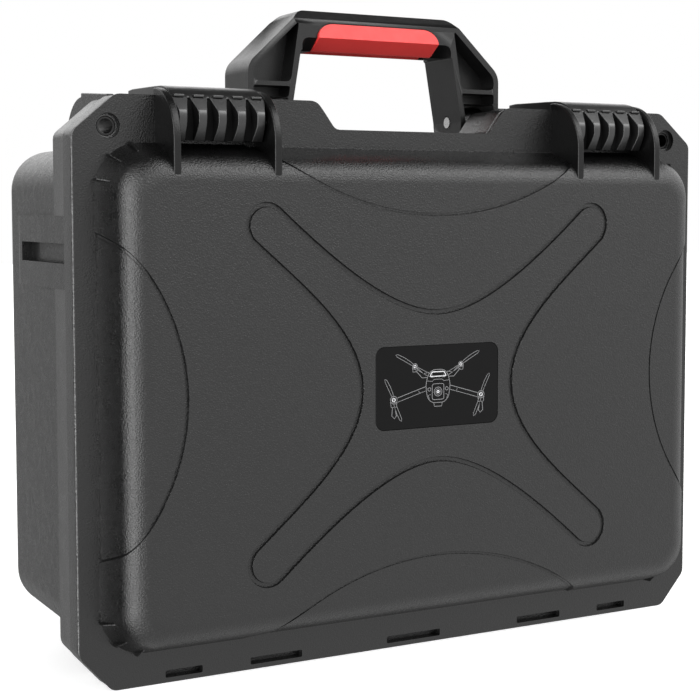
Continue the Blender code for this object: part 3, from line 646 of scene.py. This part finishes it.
def build_label():
    """Black plate with a generic four-rotor aircraft in line work."""
    front = -DOME_REACH + 0.06
    rings = []
    for inset, depth in ((0.15, front), (0.0, front + 0.15), (0.0, front + 1.2)):
        rings.append(ring_at(round_outline(LABEL_HALF, LABEL[1], LABEL[3], LABEL_RADIUS, inset, 8), depth))
    plate = loft("label_face", rings)
    piece(plate, "lid", LABEL_BLACK, replaces=("label_plate",))

    middle = PANEL_Z - 0.5
    drawn, marks = [], []
    rotors = (((14.2, 11.4), (29.0, 207.0), 13.4, 1.5), ((27.0, -5.6), (64.0, 247.0), 12.4, 2.0))

    def draw(points, width, closed=False):
        lines = marks if width == bold else drawn
        lines.append(stroke("line", [(x, middle + z) for x, z in points], width, front - 0.05, closed))

    bold, line, fine = 0.46, 0.30, 0.24
    shell = [(-7.6, 1.0), (-6.2, 6.6), (-3.4, 9.2), (3.4, 9.2), (6.2, 6.6), (7.6, 1.0), (6.6, -5.6),
             (3.8, -8.4), (-3.8, -8.4), (-6.6, -5.6)]
    draw(soften(shell, 1.8), line, True)
    draw(soften([(-5.0, 5.6), (5.0, 5.6), (3.8, 8.0), (-3.8, 8.0)], 0.8), bold, True)
    draw([(-7.0, 3.4), (-3.6, 3.0), (-2.4, 4.0), (2.4, 4.0), (3.6, 3.0), (7.0, 3.4)], fine)
    draw(soften([(-3.6, -6.8), (3.6, -6.8), (3.6, 1.6), (-3.6, 1.6)], 1.2), line, True)
    for radius, width in ((2.4, line), (1.5, fine), (0.6, bold)):
        draw(circle((0.0, -2.6), radius, 24), width, True)
    draw([(-2.6, -8.6), (-2.2, -10.4), (2.2, -10.4), (2.6, -8.6)], line)
    for side in (-1, 1):
        def flip(points):
            return [(side * x, z) for x, z in points]

        draw(flip(circle((5.4, -1.2), 0.9, 14)), line, True)
        draw(flip([(4.6, -4.0), (6.0, -4.4), (5.4, -6.4)]), fine)
        draw(flip([(5.6, 8.0), (9.0, 7.4), (12.6, 10.4)]), fine)
        draw(flip([(6.8, 5.2), (9.8, 5.2), (13.8, 9.2)]), line)
        draw(flip([(7.7, 0.4), (24.8, -4.6)]), line)
        draw(flip([(7.5, -1.8), (24.6, -6.8)]), fine)
        draw(flip([(12.0, -1.6), (11.4, -2.6)]), fine)
        for hub, aims, reach, size in rotors:
            draw(flip(circle(hub, size, 18)), line, True)
            draw(flip(circle(hub, size * 0.45, 12)), bold, True)
            draw(flip([(hub[0] - size, hub[1] - 0.4), (hub[0] - size * 0.8, hub[1] - 1.9 * size),
                       (hub[0] + size * 0.8, hub[1] - 1.9 * size), (hub[0] + size, hub[1] - 0.4)]), line)
            for aim in aims:
                draw(flip(blade(hub, aim, reach, 2.5)), fine, True)
        draw(flip([(26.4, -9.4), (25.4, -14.0), (26.6, -15.4), (28.2, -14.0), (27.8, -9.4)]), line)
    piece(merge("label_drawing", drawn), "lid", LABEL_LINES)
    piece(merge("label_marks", marks), "lid", LABEL_MARKS)


# ---- base

# Side bands and their finger pockets; seats and inner faces are x, measured from the middle of the case.
BAND_Z, BAND_SEAT, BAND_INNER = (199.6, 236.2), 183.2, 182.8
POCKET_Z, POCKET_DEPTH = (212.5, 222.5), (RIM_STEP + 0.7, 92.0)

# Padlock holes, half width of the room for a latch, handle lugs with their bore, and the gasket.
LOCK_RADIUS, LATCH_BAY = 4.9, 26.0
LUG_RADIUS, LUG_X, PIN_BORE = 9.0, (61.2, 75.2), 3.8
GUARD_X, GUARD_ROUND = (83.5, 163.0), 26.2
SEAL_RADIUS, SEAL_DEPTH, SEAL_INSET = 1.5, 4.5, 0.5

# Hollows in the rim's back: x from and to, and the top of the upper ones.
TOP_CELLS = ((64.0, 81.0, 291.5), (91.0, 117.8, 289.0), (120.6, 147.6, 289.0), (150.4, 160.5, 291.5))
LOW_CELLS = ((3.0, 28.0), (31.0, 58.0), (61.0, 90.0), (93.0, 122.0), (125.0, 160.0))


def rim_shape():
    """Rim of the base: thick frame with a step along its outside."""
    steps = ((2.6, RIM_FRONT), (2.4, RIM_FRONT + 0.9), (0.9, RIM_FRONT + 1.3), (0.5, RIM_FRONT + 1.8),
             (0.0, RIM_STEP - 0.6), (0.15, RIM_STEP), (0.8, RIM_STEP + 0.6), (0.8, RIM_REAR - 0.9),
             (1.0, RIM_REAR - 0.3), (1.7, RIM_REAR))
    return loft("base_rim", [ring_at(flange_outline(inset), depth) for inset, depth in steps])


def build_rim():
    rim = rim_shape()
    near, rear = RIM_FRONT - 1.0, RIM_REAR + 2.0
    tools = [prism_y("mouth", round_outline(*TUB, inset=TUB_WALL - 0.02), RIM_FRONT - 2.0, rear)]
    tools.append(prism_x("relief", [(near, -1.0), (HINGE[0], -1.0)] + arc(HINGE, HINGE[1], -90.0, -180.0, 10)
                         + [(near, HINGE[1])], -200.0, 200.0))
    for side in (-1, 1):
        middle = side * LATCH_X
        tools.append(prism_y("lock", circle((side * LOCK_X, LOCK_Z), LOCK_RADIUS), RIM_FRONT - 2.0, rear))
        tools.append(box("bay", (middle - LATCH_BAY, middle + LATCH_BAY), (near, rear), (292.0, 310.0)))
        tools.append(box("seat", span(side, BAND_SEAT, BEYOND), (RIM_STEP + 0.3, rear),
                         (BAND_Z[0] + 0.1, BAND_Z[1] - 0.1)))
    for centre, half in HINGE_KNUCKLES:
        tools.append(box("hinge", (centre - half - 0.6, centre + half + 0.6), (near, 15.5), (-2.0, 12.5)))
    cut(rim, *tools)
    cells = []
    for side in (-1, 1):
        for left, right, top in TOP_CELLS:
            cells.append(box("cell", span(side, left, right), (8.0, RIM_REAR + 3.0), (275.0, top)))
        for left, right in LOW_CELLS:
            cells.append(box("cell", span(side, left, right), (17.5, RIM_REAR + 3.0), (4.0, 13.5)))
    cut(rim, *cells)
    piece(rim, "base", RIM, bevel=0.1, angle=50.0)


def pocket_cutter(side):
    """Finger pocket in the side band: a long shallow part, a deep rear end and a groove along the bottom.

    The three parts end a little apart from each other, so that none of their faces coincide.
    """
    low, high = POCKET_Z
    near, far = POCKET_DEPTH
    shallow = box("shallow", span(side, 185.4, BEYOND), (near, far), (low, high))
    deep = box("deep", span(side, 183.8, BEYOND - 1.0), (72.0, far - 0.02), (low + 0.02, high - 0.02))
    groove = box("groove", span(side, 184.2, BEYOND - 0.5), (near + 0.02, far - 0.04),
                 (low + 0.01, low + 1.1))
    return fuse(shallow, deep, groove)


def tub_corner(radius, inset, rear, steps):
    """Rings round the tub's rear edge, from its side to its back."""
    turns = [math.radians(90.0 / steps * i) for i in range(steps + 1)]
    return [tub_ring(inset + radius * (1 - math.cos(a)), rear - radius * (1 - math.sin(a))) for a in turns]


def build_tub():
    front = RIM_FRONT + 4.0
    outside = [tub_ring(0.0, front)] + tub_corner(TUB_FILLET, 0.0, TUB_REAR, 9)
    inside = [tub_ring(TUB_WALL, front)] + tub_corner(TUB_INNER_FILLET, TUB_WALL, TUB_REAR - TUB_WALL, 5)
    tub = loft("base_tub", list(reversed(outside)) + inside)
    for side in (-1, 1):
        cut(tub, box("seat", span(side, BAND_SEAT, BEYOND), (RIM_FRONT + 6.0, POCKET_DEPTH[1] + 0.4),
                     (POCKET_Z[0] - 0.4, POCKET_Z[1] + 0.4)))
    piece(tub, "base", SHELL, replaces=("base_shell",))

    bands = []
    outline = ((BAND_INNER, RIM_STEP + 0.35), (188.9, RIM_STEP + 0.35), (189.2, RIM_STEP + 0.8),
               (189.2, 96.0), (188.6, 100.0), (187.2, 103.4), (186.4, 104.6), (BAND_INNER, 105.0))
    for side in (-1, 1):
        band = prism_z("band", [(side * x, d) for x, d in outline], *BAND_Z)
        cut(band, pocket_cutter(side))
        bands.append(band)
    piece(merge("base_side_bands", bands), "base", SHELL, bevel=0.45, segments=3)


def build_base_details():
    """Guards behind the latches, lugs of the handle and the feet, all sunk a little into the tub."""
    guards, lugs, feet = [], [], []
    sunk, radius, depth = TUB[2] - 2.5, LUG_RADIUS, HANDLE_PIVOT[0]
    crown = arc((57.0, TUB[2]), GUARD_ROUND, 90.0, 0.0, 14)
    guard = ([(RIM_STEP + 0.4, 288.0), (RIM_STEP + 0.4, 296.6), (57.0, 299.7)] + crown
             + [(83.2, sunk), (34.0, sunk), (34.0, 288.0)])
    lug = [(depth - radius, sunk), (depth + radius, sunk)] + arc(HANDLE_PIVOT, radius, 0.0, 180.0, 18)
    foot = ((118.0, 96.0), (142.0, 96.0), (142.0, 116.0), (118.0, 116.0))
    for side in (-1, 1):
        for left in GUARD_X:
            guards.append(prism_x("guard", guard, *span(side, left, left + EAR_WIDTH)))
        ear = prism_x("lug", lug, *span(side, *LUG_X))
        cut(ear, prism_x("bore", circle(HANDLE_PIVOT, PIN_BORE, 24), *span(side, 59.0, 77.0)))
        lugs.append(ear)
        feet.append(prism_z("foot", soften([(side * x, d) for x, d in foot], 3.0), 0.0, TUB[1] + 2.5))
    piece(merge("base_latch_guards", guards), "base", SHELL_SMOOTH, bevel=0.6, segments=3)
    piece(merge("base_handle_lugs", lugs), "base", SHELL_SMOOTH, bevel=0.6, segments=3)
    piece(merge("base_feet", feet), "base", SHELL_SMOOTH, bevel=1.0, segments=3)


def build_seal():
    """Round bead of rubber at the rim's front edge."""
    turns = [math.radians(30.0 * k) for k in range(12)]
    rings = [tub_ring(SEAL_INSET - SEAL_RADIUS * math.cos(a), SEAL_DEPTH + SEAL_RADIUS * math.sin(a))
             for a in turns]
    bead = loft("lid_seal_bead", rings, ring_again=True)
    piece(bead, "base", GASKET, replaces=("lid_seal",))


# ---- latches

LATCH_HALF, LATCH_BORE, BARREL_RADIUS = 24.35, 1.9, 9.9
RIB_COUNT, RIB_PITCH, LEDGE_HALF = 5, 10.4, 2.7


def latch_cover_profile():
    """Cover, roof and tail in one curve, as (depth, z)."""
    roof = [(50.3, 301.2), (44.0, 301.6), (30.0, 301.3), (12.0, 300.9), (4.0, 300.6), (0.0, 300.1),
            (-4.0, 299.1), (-7.4, 297.6), (-10.0, 295.8), (-11.4, 294.2)]
    under = [(-10.0, 292.0), (-7.0, 292.6), (-0.8, 292.8), (-0.8, 296.6), (6.4, 296.6), (6.4, 292.8),
             (40.4, 292.8), (42.4, 298.2), (50.3, 298.8)]
    return roof + under


def latch_rib(middle):
    """Thumb rib: wide where it leaves the cover, narrow across its round front."""
    outline = ((-9.0, 292.0, 4.7), (-9.4, 295.0, 4.7), (-11.3, 294.8, 4.7), (-12.1, 293.9, 4.5),
               (-14.7, 290.7, 3.3), (-17.0, 287.9, 2.3), (-17.6, 286.9, 2.1), (-17.85, 285.4, 2.1),
               (-17.9, 283.8, 2.1), (-17.7, 281.6, 2.1), (-17.1, 280.0, 2.15), (-15.4, 277.2, 2.4),
               (-12.4, 272.8, 2.9), (-9.0, 273.8, 2.9))
    return loft("rib", [[at(middle + way * half, depth, z) for depth, z, half in outline] for way in (-1, 1)])


def build_latch(word, side):
    """Core round the pivot, near black and barely reflective as painted shade in the gaps between the ribs,
    and the satin cover with its thumb ribs.
    """
    name = "latch_" + word
    centre = side * LATCH_X
    left, right = centre - LATCH_HALF, centre + LATCH_HALF
    barrel = [(-0.7, 292.9), (-12.0, 292.9), (-12.6, 288.0), (-12.9, 283.0), (-12.6, 278.0), (-11.2, 273.2)]
    barrel += arc(LATCH_PIVOT, BARREL_RADIUS, -84.0, -6.0, 12)
    core = prism_x("barrel_core_" + word, barrel, left, right)
    cut(core, prism_x("bore", circle(LATCH_PIVOT, LATCH_BORE, 20), centre - 30.0, centre + 30.0))
    piece(core, name, LATCH_CORE_SHADE, bevel=0.4)
    parts = [prism_x("cover", latch_cover_profile(), left, right)]
    for k in range(RIB_COUNT):
        middle = centre + RIB_PITCH * (k - RIB_COUNT // 2)
        parts.append(latch_rib(middle))
        parts.append(box("ledge", (middle - LEDGE_HALF, middle + LEDGE_HALF), (-12.7, -9.0), (294.2, 295.5)))
    piece(merge("barrel_" + name, parts), name, LATCH, bevel=0.35, replaces=(name,))


# ---- handle

# Outline: depths, half widths below and on top, level of the shoulders, and the opening.
HANDLE_FRONT, HANDLE_REAR = 39.5, 70.5
HANDLE_HALF, HANDLE_SHOULDER = 80.0, 317.5
HANDLE_TOP, HANDLE_TOP_HALF, HANDLE_BEVEL = 348.0, 47.6, 5.0
OPENING_TOP, OPENING_HALF, LEG_SLOPE = 326.3, 48.3, 0.17

# Thickness of the outer webs and half of the middle one, the lugs' clearance, and the pin heads.
WEB, WEB_HALF = 3.2, 2.0
LUG_CLEAR_Z, HEAD_RADIUS = 300.2, 3.2
GRIP_HALF, GRIP_ROUND, GRIP_CREASE, GRIP_TOP, GRIP_DEEP = 38.2, 9.6, 333.0, 341.0, 4.5

# Scoop beside the grip: x, and how far its upper edge has dropped there.
SCOOP = ((34.0, 0.0), (43.6, 0.0), (45.6, 0.5), (46.8, 1.6), (47.5, 3.6))
SCOOP_DEEP, SCOOP_LOSS, SCOOP_LOW = 9.0, 1.6, 318.0


def leg_inner(z):
    return OPENING_HALF + (OPENING_TOP - z) * LEG_SLOPE


def leg_cell(low, high):
    """Hollow of the right leg between two levels, inside its webs."""
    slope = (HANDLE_HALF - HANDLE_TOP_HALF) / (HANDLE_TOP - HANDLE_SHOULDER)
    outer = HANDLE_HALF - WEB
    shoulder = HANDLE_SHOULDER - 1.6
    level = HANDLE_PIVOT[1]
    points = [(leg_inner(max(low, level)) + WEB, low), (outer, low)]
    if low < level:
        points.insert(0, (leg_inner(level) + WEB, level))
    if high > shoulder:
        inner_top = leg_inner(high) + WEB
        points += [(outer, shoulder), (inner_top, shoulder + (outer - inner_top) / slope)]
    else:
        points += [(outer, high), (leg_inner(high) + WEB, high)]
    return soften(points, 3.0 if high > shoulder else 1.2)


def build_handle():
    pivot_z = HANDLE_PIVOT[1]
    right = [(leg_inner(pivot_z), pivot_z), (HANDLE_HALF, pivot_z), (HANDLE_HALF, HANDLE_SHOULDER),
             (HANDLE_TOP_HALF, HANDLE_TOP)]
    opening = [(-OPENING_HALF, OPENING_TOP), (OPENING_HALF, OPENING_TOP)]
    radii = [0, 0, 5.0, 3.5, 3.5, 5.0, 0, 0, 1.2, 1.2]
    outline = soften(right + mirrored(right) + opening, radii, 6)
    shape = prism_y("handle_body", outline, HANDLE_FRONT, HANDLE_REAR)
    half = (HANDLE_REAR - HANDLE_FRONT) / 2
    heels = []
    for side in (-1, 1):
        heels.append(prism_x("heel", arc(HANDLE_PIVOT, half, -180.0, 0.0, 24)
                             + [(HANDLE_REAR, pivot_z + 2.0), (HANDLE_FRONT, pivot_z + 2.0)],
                             *span(side, leg_inner(pivot_z), HANDLE_HALF)))
    fuse(shape, *heels)
    faces = ((HANDLE_FRONT, 1), (HANDLE_REAR, -1))
    tools = []
    for edge, way in faces:
        low, inner, outer = HANDLE_TOP - HANDLE_BEVEL, edge + way * HANDLE_BEVEL, edge - way * 3.0
        corner = [(edge, low), (inner, HANDLE_TOP), (inner, HANDLE_TOP + 3.0), (outer, HANDLE_TOP + 3.0),
                  (outer, low)]
        tools.append(prism_x("bevel", corner, -90.0, 90.0))
    web = (HANDLE_PIVOT[0] - WEB_HALF, HANDLE_PIVOT[0] + WEB_HALF)
    levels = ((pivot_z - half - 2.0, LUG_CLEAR_Z), (LUG_CLEAR_Z + 0.02, 306.2), (308.6, HANDLE_TOP - 8.5))
    cells = [leg_cell(*pair) for pair in levels]
    for side in (-1, 1):
        floor, lower, upper = cells if side > 0 else [mirrored(cell) for cell in cells]
        tools.append(prism_y("fork", floor, HANDLE_FRONT - 1.0, HANDLE_REAR + 1.0))
        for cell in (lower, upper):
            tools.append(prism_y("front", cell, HANDLE_FRONT - 1.0, web[0]))
            tools.append(prism_y("rear", cell, web[1], HANDLE_REAR + 1.0))
        tools.append(prism_x("bore", circle(HANDLE_PIVOT, PIN_BORE, 28), *span(side, 50.0, 90.0)))
        for edge, way in faces:
            tools.append(handle_scoop(side, edge, way))
    cut(shape, *tools)
    sleeve = prism_y("sleeve", grip_outline(0.3, OPENING_TOP - 1.0), HANDLE_FRONT - 5.0, HANDLE_REAR + 5.0)
    cut(sleeve, grip_core("core", 0.0))
    cut(shape, sleeve)
    piece(shape, "handle", HANDLE, bevel=0.6, replaces=("handle_frame",))
    inner = leg_inner(pivot_z)
    heads = [prism_x("head", circle(HANDLE_PIVOT, HEAD_RADIUS, 28), *span(side, inner - 0.35, inner + 1.0))
             for side in (-1, 1)]
    piece(merge("handle_pin_heads", heads), "handle", STEEL)


def handle_scoop(side, edge, way):
    """Slanted finger relief of the bar's lower edge beside the grip, running out towards the leg."""
    rings = []
    for x, shift in SCOOP:
        level, outer = GRIP_CREASE - shift, edge - way * 3.0
        inner = edge + way * (SCOOP_DEEP - SCOOP_LOSS * shift)
        section = [(outer, level + 0.2), (edge, level), (inner, OPENING_TOP - 0.2), (inner, SCOOP_LOW),
                   (outer, SCOOP_LOW)]
        rings.append([at(side * x, depth, z) for depth, z in section])
    return loft("scoop", rings)


def grip_outline(extra, low):
    """Front view of the grip: square below, with wide round corners above the crease."""
    half, round_z = GRIP_HALF + extra, GRIP_TOP + extra - GRIP_CREASE
    corner = [(half - GRIP_ROUND + GRIP_ROUND * math.cos(a), GRIP_CREASE + round_z * math.sin(a))
              for a in (math.radians(10.0 * i) for i in range(10))]
    return [(-half, low), (half, low)] + corner + mirrored(corner)


def grip_core(name, extra):
    """The part of the bar that stays inside the grip."""
    front, rear = HANDLE_FRONT + GRIP_DEEP - extra, HANDLE_REAR - GRIP_DEEP + extra
    low = OPENING_TOP + 4.0 - extra
    return prism_x(name, [(front, low), (rear, low), (rear, 350.0), (front, 350.0)], -60.0, 60.0)


def build_grip():
    """Red sleeve round the bar: a crease along each side, wide round upper corners, narrow underneath."""
    crease, low = GRIP_CREASE, OPENING_TOP + 0.02
    rings = []
    ends = [GRIP_HALF - GRIP_ROUND * (1 - math.cos(math.radians(10.0 * i))) for i in range(10)]
    for x in [-x for x in ends] + ends[::-1]:
        along = max(0.0, (abs(x) - GRIP_HALF + GRIP_ROUND) / GRIP_ROUND)
        rise = (GRIP_TOP - crease) * math.sqrt(max(1.0 - along * along, 0.004))
        shrink = 0.9 if abs(x) > GRIP_HALF - 0.01 else 0.0
        half = [(13.0, low + 2.2), (8.8, low), (7.2, low + 0.5), (-1.8 + shrink, crease - 0.3),
                (-2.0 + shrink, crease), (-1.9 + shrink, crease + 0.3 * rise / 8.0),
                (-2.0 + 1.8 * rise / 8.0, crease + rise - 0.1)]
        ring = [(HANDLE_FRONT + d, z) for d, z in half] + [(HANDLE_REAR - d, z) for d, z in reversed(half)]
        rings.append([at(x, d, z) for d, z in ring])
    grip = loft("grip_sleeve", rings)
    cut(grip, grip_core("core", 0.25))
    piece(grip, "handle", GRIP, bevel=0.35, angle=24.0, replaces=("handle_grip",))


# ---- foam

# Pockets in the foam: x from and to, z from and to.
POCKETS = ((-166.0, 62.0, 150.0, 252.0), (-166.0, -6.0, 36.0, 134.0), (10.0, 104.0, 36.0, 134.0),
           (120.0, 166.0, 36.0, 134.0), (80.0, 166.0, 150.0, 179.0), (80.0, 166.0, 187.0, 216.0),
           (80.0, 166.0, 224.0, 253.0))
FOAM_GAP, FOAM_REAR = 0.7, 108.0


def build_base_foam():
    """Block with a pocket for each item, over a thin floor sheet."""
    gap = TUB_WALL + FOAM_GAP
    block = loft("foam_block", [tub_ring(gap + 1.2, 3.6), tub_ring(gap + 0.4, 4.2), tub_ring(gap, 5.4),
                                tub_ring(gap, FOAM_REAR)])
    tools = []
    for left, right, low, high in POCKETS:
        half, middle = (right - left) / 2, (left + right) / 2
        radius = 9.0 if high - low > 30.0 else 5.0
        rings = []
        for grow, depth in ((1.6, 2.0), (1.5, 3.5), (0.6, 4.0), (0.0, 5.4), (0.0, FOAM_REAR + 1.0)):
            points = round_outline(half + grow, low - grow, high + grow, radius + grow, steps=8)
            rings.append([at(x + middle, depth, z) for x, z in points])
        tools.append(loft("pocket", rings))
    cut(block, *tools)
    piece(block, "base", FOAM, replaces=("base_foam",))

    sheet = loft("foam_floor_sheet", [tub_ring(gap, 108.3), tub_ring(gap, 118.5), tub_ring(gap + 2.8, 123.5),
                                      tub_ring(gap + 9.0, 127.0)])
    piece(sheet, "base", FOAM, replaces=("foam_floor",))


def build_lid_foam():
    """Egg-crate foam: rows of soft peaks over a back that follows the dome's inside."""
    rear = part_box("lid_foam")[1].y / MM - FRONT_Y
    profile = dome_profile(LID_WALL + FOAM_GAP, rear, 5)
    start = profile[0][0]
    half, low, high = DOME[0] - start, DOME[1] + start, DOME[2] - start
    middle, rise = (low + high) / 2, (high - low) / 2
    pitch, swell, radius, fade = 24.0, 4.5, 24.0, 9.0
    columns, rows = 132, 92
    bm = bmesh.new()
    grid = []
    for j in range(rows + 1):
        line = []
        for i in range(columns + 1):
            x, z = (2 * i / columns - 1) * half, (2 * j / rows - 1) * rise
            over = Vector((max(abs(x) - half + radius, 0.0), max(abs(z) - rise + radius, 0.0)))
            reach = max(over)
            if min(over) > 0.0:
                over *= reach / over.length
                x = math.copysign(half - radius + over.x, x)
                z = math.copysign(rise - radius + over.y, z)
            edge = min(1.0, (half - abs(x)) / fade, (rise - abs(z)) / fade, max(radius - reach, 0.0) / fade)
            wave = math.sin(math.pi * x / pitch) * math.sin(math.pi * z / pitch)
            depth = rear - swell + swell * wave * edge - 2.0 * (1 - edge)
            line.append(bm.verts.new(at(x, depth, middle + z)))
        grid.append(line)
    for j in range(rows):
        for i in range(columns):
            bm.faces.new((grid[j][i], grid[j][i + 1], grid[j + 1][i + 1], grid[j + 1][i]))
    rim = ([grid[0][i] for i in range(columns)] + [grid[j][columns] for j in range(rows)]
           + [grid[rows][i] for i in range(columns, 0, -1)] + [grid[j][0] for j in range(rows, 0, -1)])
    places = [(vert.co.x / MM, vert.co.z / MM - middle) for vert in rim]
    loops = [rim]
    for inset, depth in profile[1:]:
        shift = inset - start
        loops.append([bm.verts.new(at(x * (1 - shift / half), depth, middle + z * (1 - shift / rise)))
                      for x, z in places])
    for near, far in zip(loops, loops[1:]):
        bridge(bm, near, far)
    bm.faces.new(loops[-1])
    pad = from_bmesh("lid_foam_pad", bm)
    piece(pad, "lid", FOAM, replaces=("lid_foam",))


# ---- carried-over steel

def paint(node, material):
    obj = frame["nodes"][node]
    obj.data.materials.clear()
    obj.data.materials.append(material)


for place in ("left", "middle", "right"):
    paint("hinge_pin_" + place, STEEL)
for place in ("left", "right"):
    paint("latch_pin_" + place, STEEL)
    paint("handle_pin_" + place, STEEL)
    paint("lock_bush_" + place, LOCK_HOLE_SHADE)

for build in (build_dome, build_lid_flange, build_ears, build_corner_ribs, build_label, build_rim, build_tub,
              build_base_details, build_seal):
    build()
build_latch("left", -1)
build_latch("right", 1)
for build in (build_handle, build_grip, build_base_foam, build_lid_foam):
    build()


# ---- stage, light and camera

def build_stage():
    mesh = bpy.data.meshes.new("floor")
    size = 6.0
    mesh.from_pydata([(-size, -size, 0.0), (size, -size, 0.0), (size, size, 0.0), (-size, size, 0.0)], [],
                     [(0, 1, 2, 3)])
    floor = new_object("floor", mesh)
    n = Nodes("pale_floor")
    floor.data.materials.append(n.shade(
        Base_Color=n.mix(n.fit(n.noise(3.0), 0.0, 1.0), tone(0.84), tone(0.88)), Roughness=0.7,
        Specular_IOR_Level=0.2, Emission_Color=WHITE, Emission_Strength=0.45))
    floor.visible_glossy = floor.visible_diffuse = floor.visible_shadow = False

    scene = bpy.context.scene
    scene.view_settings.view_transform = "Standard"
    scene.world = studio_world()


class Room(Tree):
    """World light as soft patches laid over each other, each placed by direction."""

    def __init__(self):
        self.world = bpy.data.worlds.new("studio")
        super().__init__(self.world)
        self.towards = self.add("ShaderNodeTexCoord").outputs["Generated"]
        flat = self.add("ShaderNodeVectorMath", operation="MULTIPLY")
        self.feed(flat.inputs[0], self.towards)
        self.feed(flat.inputs[1], (1.0, 1.0, 0.0))
        level = self.add("ShaderNodeVectorMath", operation="NORMALIZE", Vector=flat.outputs["Vector"])
        self.level = level.outputs["Vector"]

    def patch(self, centre, outer, inner, around=False):
        """1 within inner degrees of centre, 0 beyond outer; around measures the compass direction only."""
        dot = self.add("ShaderNodeVectorMath", operation="DOT_PRODUCT")
        self.feed(dot.inputs[0], self.level if around else self.towards)
        self.feed(dot.inputs[1], Vector(centre).normalized())
        return self.add("ShaderNodeMapRange", interpolation_type="SMOOTHSTEP", Value=dot.outputs["Value"],
                        From_Min=math.cos(math.radians(outer)),
                        From_Max=math.cos(math.radians(inner))).outputs["Result"]

    def blend(self, under, over, amount):
        """over where amount is 1, under where it is 0."""
        change = self.maths("SUBTRACT", over, under)
        return self.maths("ADD", under, self.maths("MULTIPLY", change, amount))


def studio_world():
    """White behind the object; for light, a soft room with a tall softbox on the left and one in front."""
    room = Room()
    light = AMBIENT
    for strength, *where in ROOM_PATCHES:
        light = room.blend(light, strength, room.patch(*where))
    not_above = room.maths("SUBTRACT", 1.0, room.patch((0.0, 0.0, 1.0), 58.0, 34.0))
    band = room.maths("SUBTRACT", not_above, room.patch((0.0, 0.0, -1.0), 62.0, 42.0))
    behind = room.maths("MULTIPLY", not_above, room.patch((-0.90, 0.44, 0.0), 30.0, 19.0, around=True))
    beside = room.maths("MULTIPLY", band, room.patch((-0.90, -0.44, 0.0), 26.0, 15.0, around=True))
    for strength, amount in ((0.01, behind), (SIDE_SOFTBOX, beside),
                             (FRONT_SOFTBOX, room.patch((0.48, -0.52, 0.71), 25.0, 10.0))):
        light = room.blend(light, strength, amount)
    seen = room.add("ShaderNodeLightPath").outputs["Is Camera Ray"]
    background = room.tree.nodes["Background"]
    room.feed(background.inputs["Color"], WHITE)
    room.feed(background.inputs["Strength"], room.maths("MAXIMUM", seen, light))
    return room.world


# Strength, direction, outer and inner angle in degrees; True where only the compass direction counts.
AMBIENT = 0.52
ROOM_PATCHES = (
    (1.22, (0.35, -1.0, 0.0), 115.0, 50.0, True),
    (0.62, (-0.47, 0.88, 0.0), 16.0, 5.0, True),
    (1.9, (0.0, 0.0, 1.0), 84.0, 72.0),
    (0.12, (0.0, 0.05, 1.0), 54.0, 40.0),
    (1.1, (0.0, 0.0, -1.0), 62.0, 40.0),
    (0.05, (0.48, 0.72, -0.51), 34.0, 20.0),
    (0.12, (0.48, 0.58, 0.66), 20.0, 12.0),
)
SIDE_SOFTBOX, FRONT_SOFTBOX = 6.3, 6.0

# The camera's place in millimetres from the lid's front, its turn in radians, its lens and its shift.
CAMERA_PLACE = (-417.92, -712.84, 238.45)
CAMERA_YAW, CAMERA_PITCH, CAMERA_ROLL = -0.498, -0.0714, -0.0009
CAMERA_LENS, SENSOR = 78.36, 36.0
CAMERA_SHIFT = (-15.0 / 700.0, -30.0 / 700.0)


def build_camera():
    camera = bpy.data.cameras.new("camera")
    camera.sensor_width = SENSOR
    camera.lens = CAMERA_LENS
    camera.shift_x, camera.shift_y = CAMERA_SHIFT
    camera.clip_start = 0.01
    obj = bpy.data.objects.new("camera", camera)
    x, depth, z = CAMERA_PLACE
    turn = (Matrix.Rotation(CAMERA_YAW, 4, "Z") @ Matrix.Rotation(math.pi / 2 + CAMERA_PITCH, 4, "X")
            @ Matrix.Rotation(CAMERA_ROLL, 4, "Z"))
    obj.matrix_world = Matrix.Translation(Vector((x, FRONT_Y + depth, z)) * MM) @ turn
    bpy.context.scene.collection.objects.link(obj)
    bpy.context.scene.camera = obj


build_stage()
build_camera()
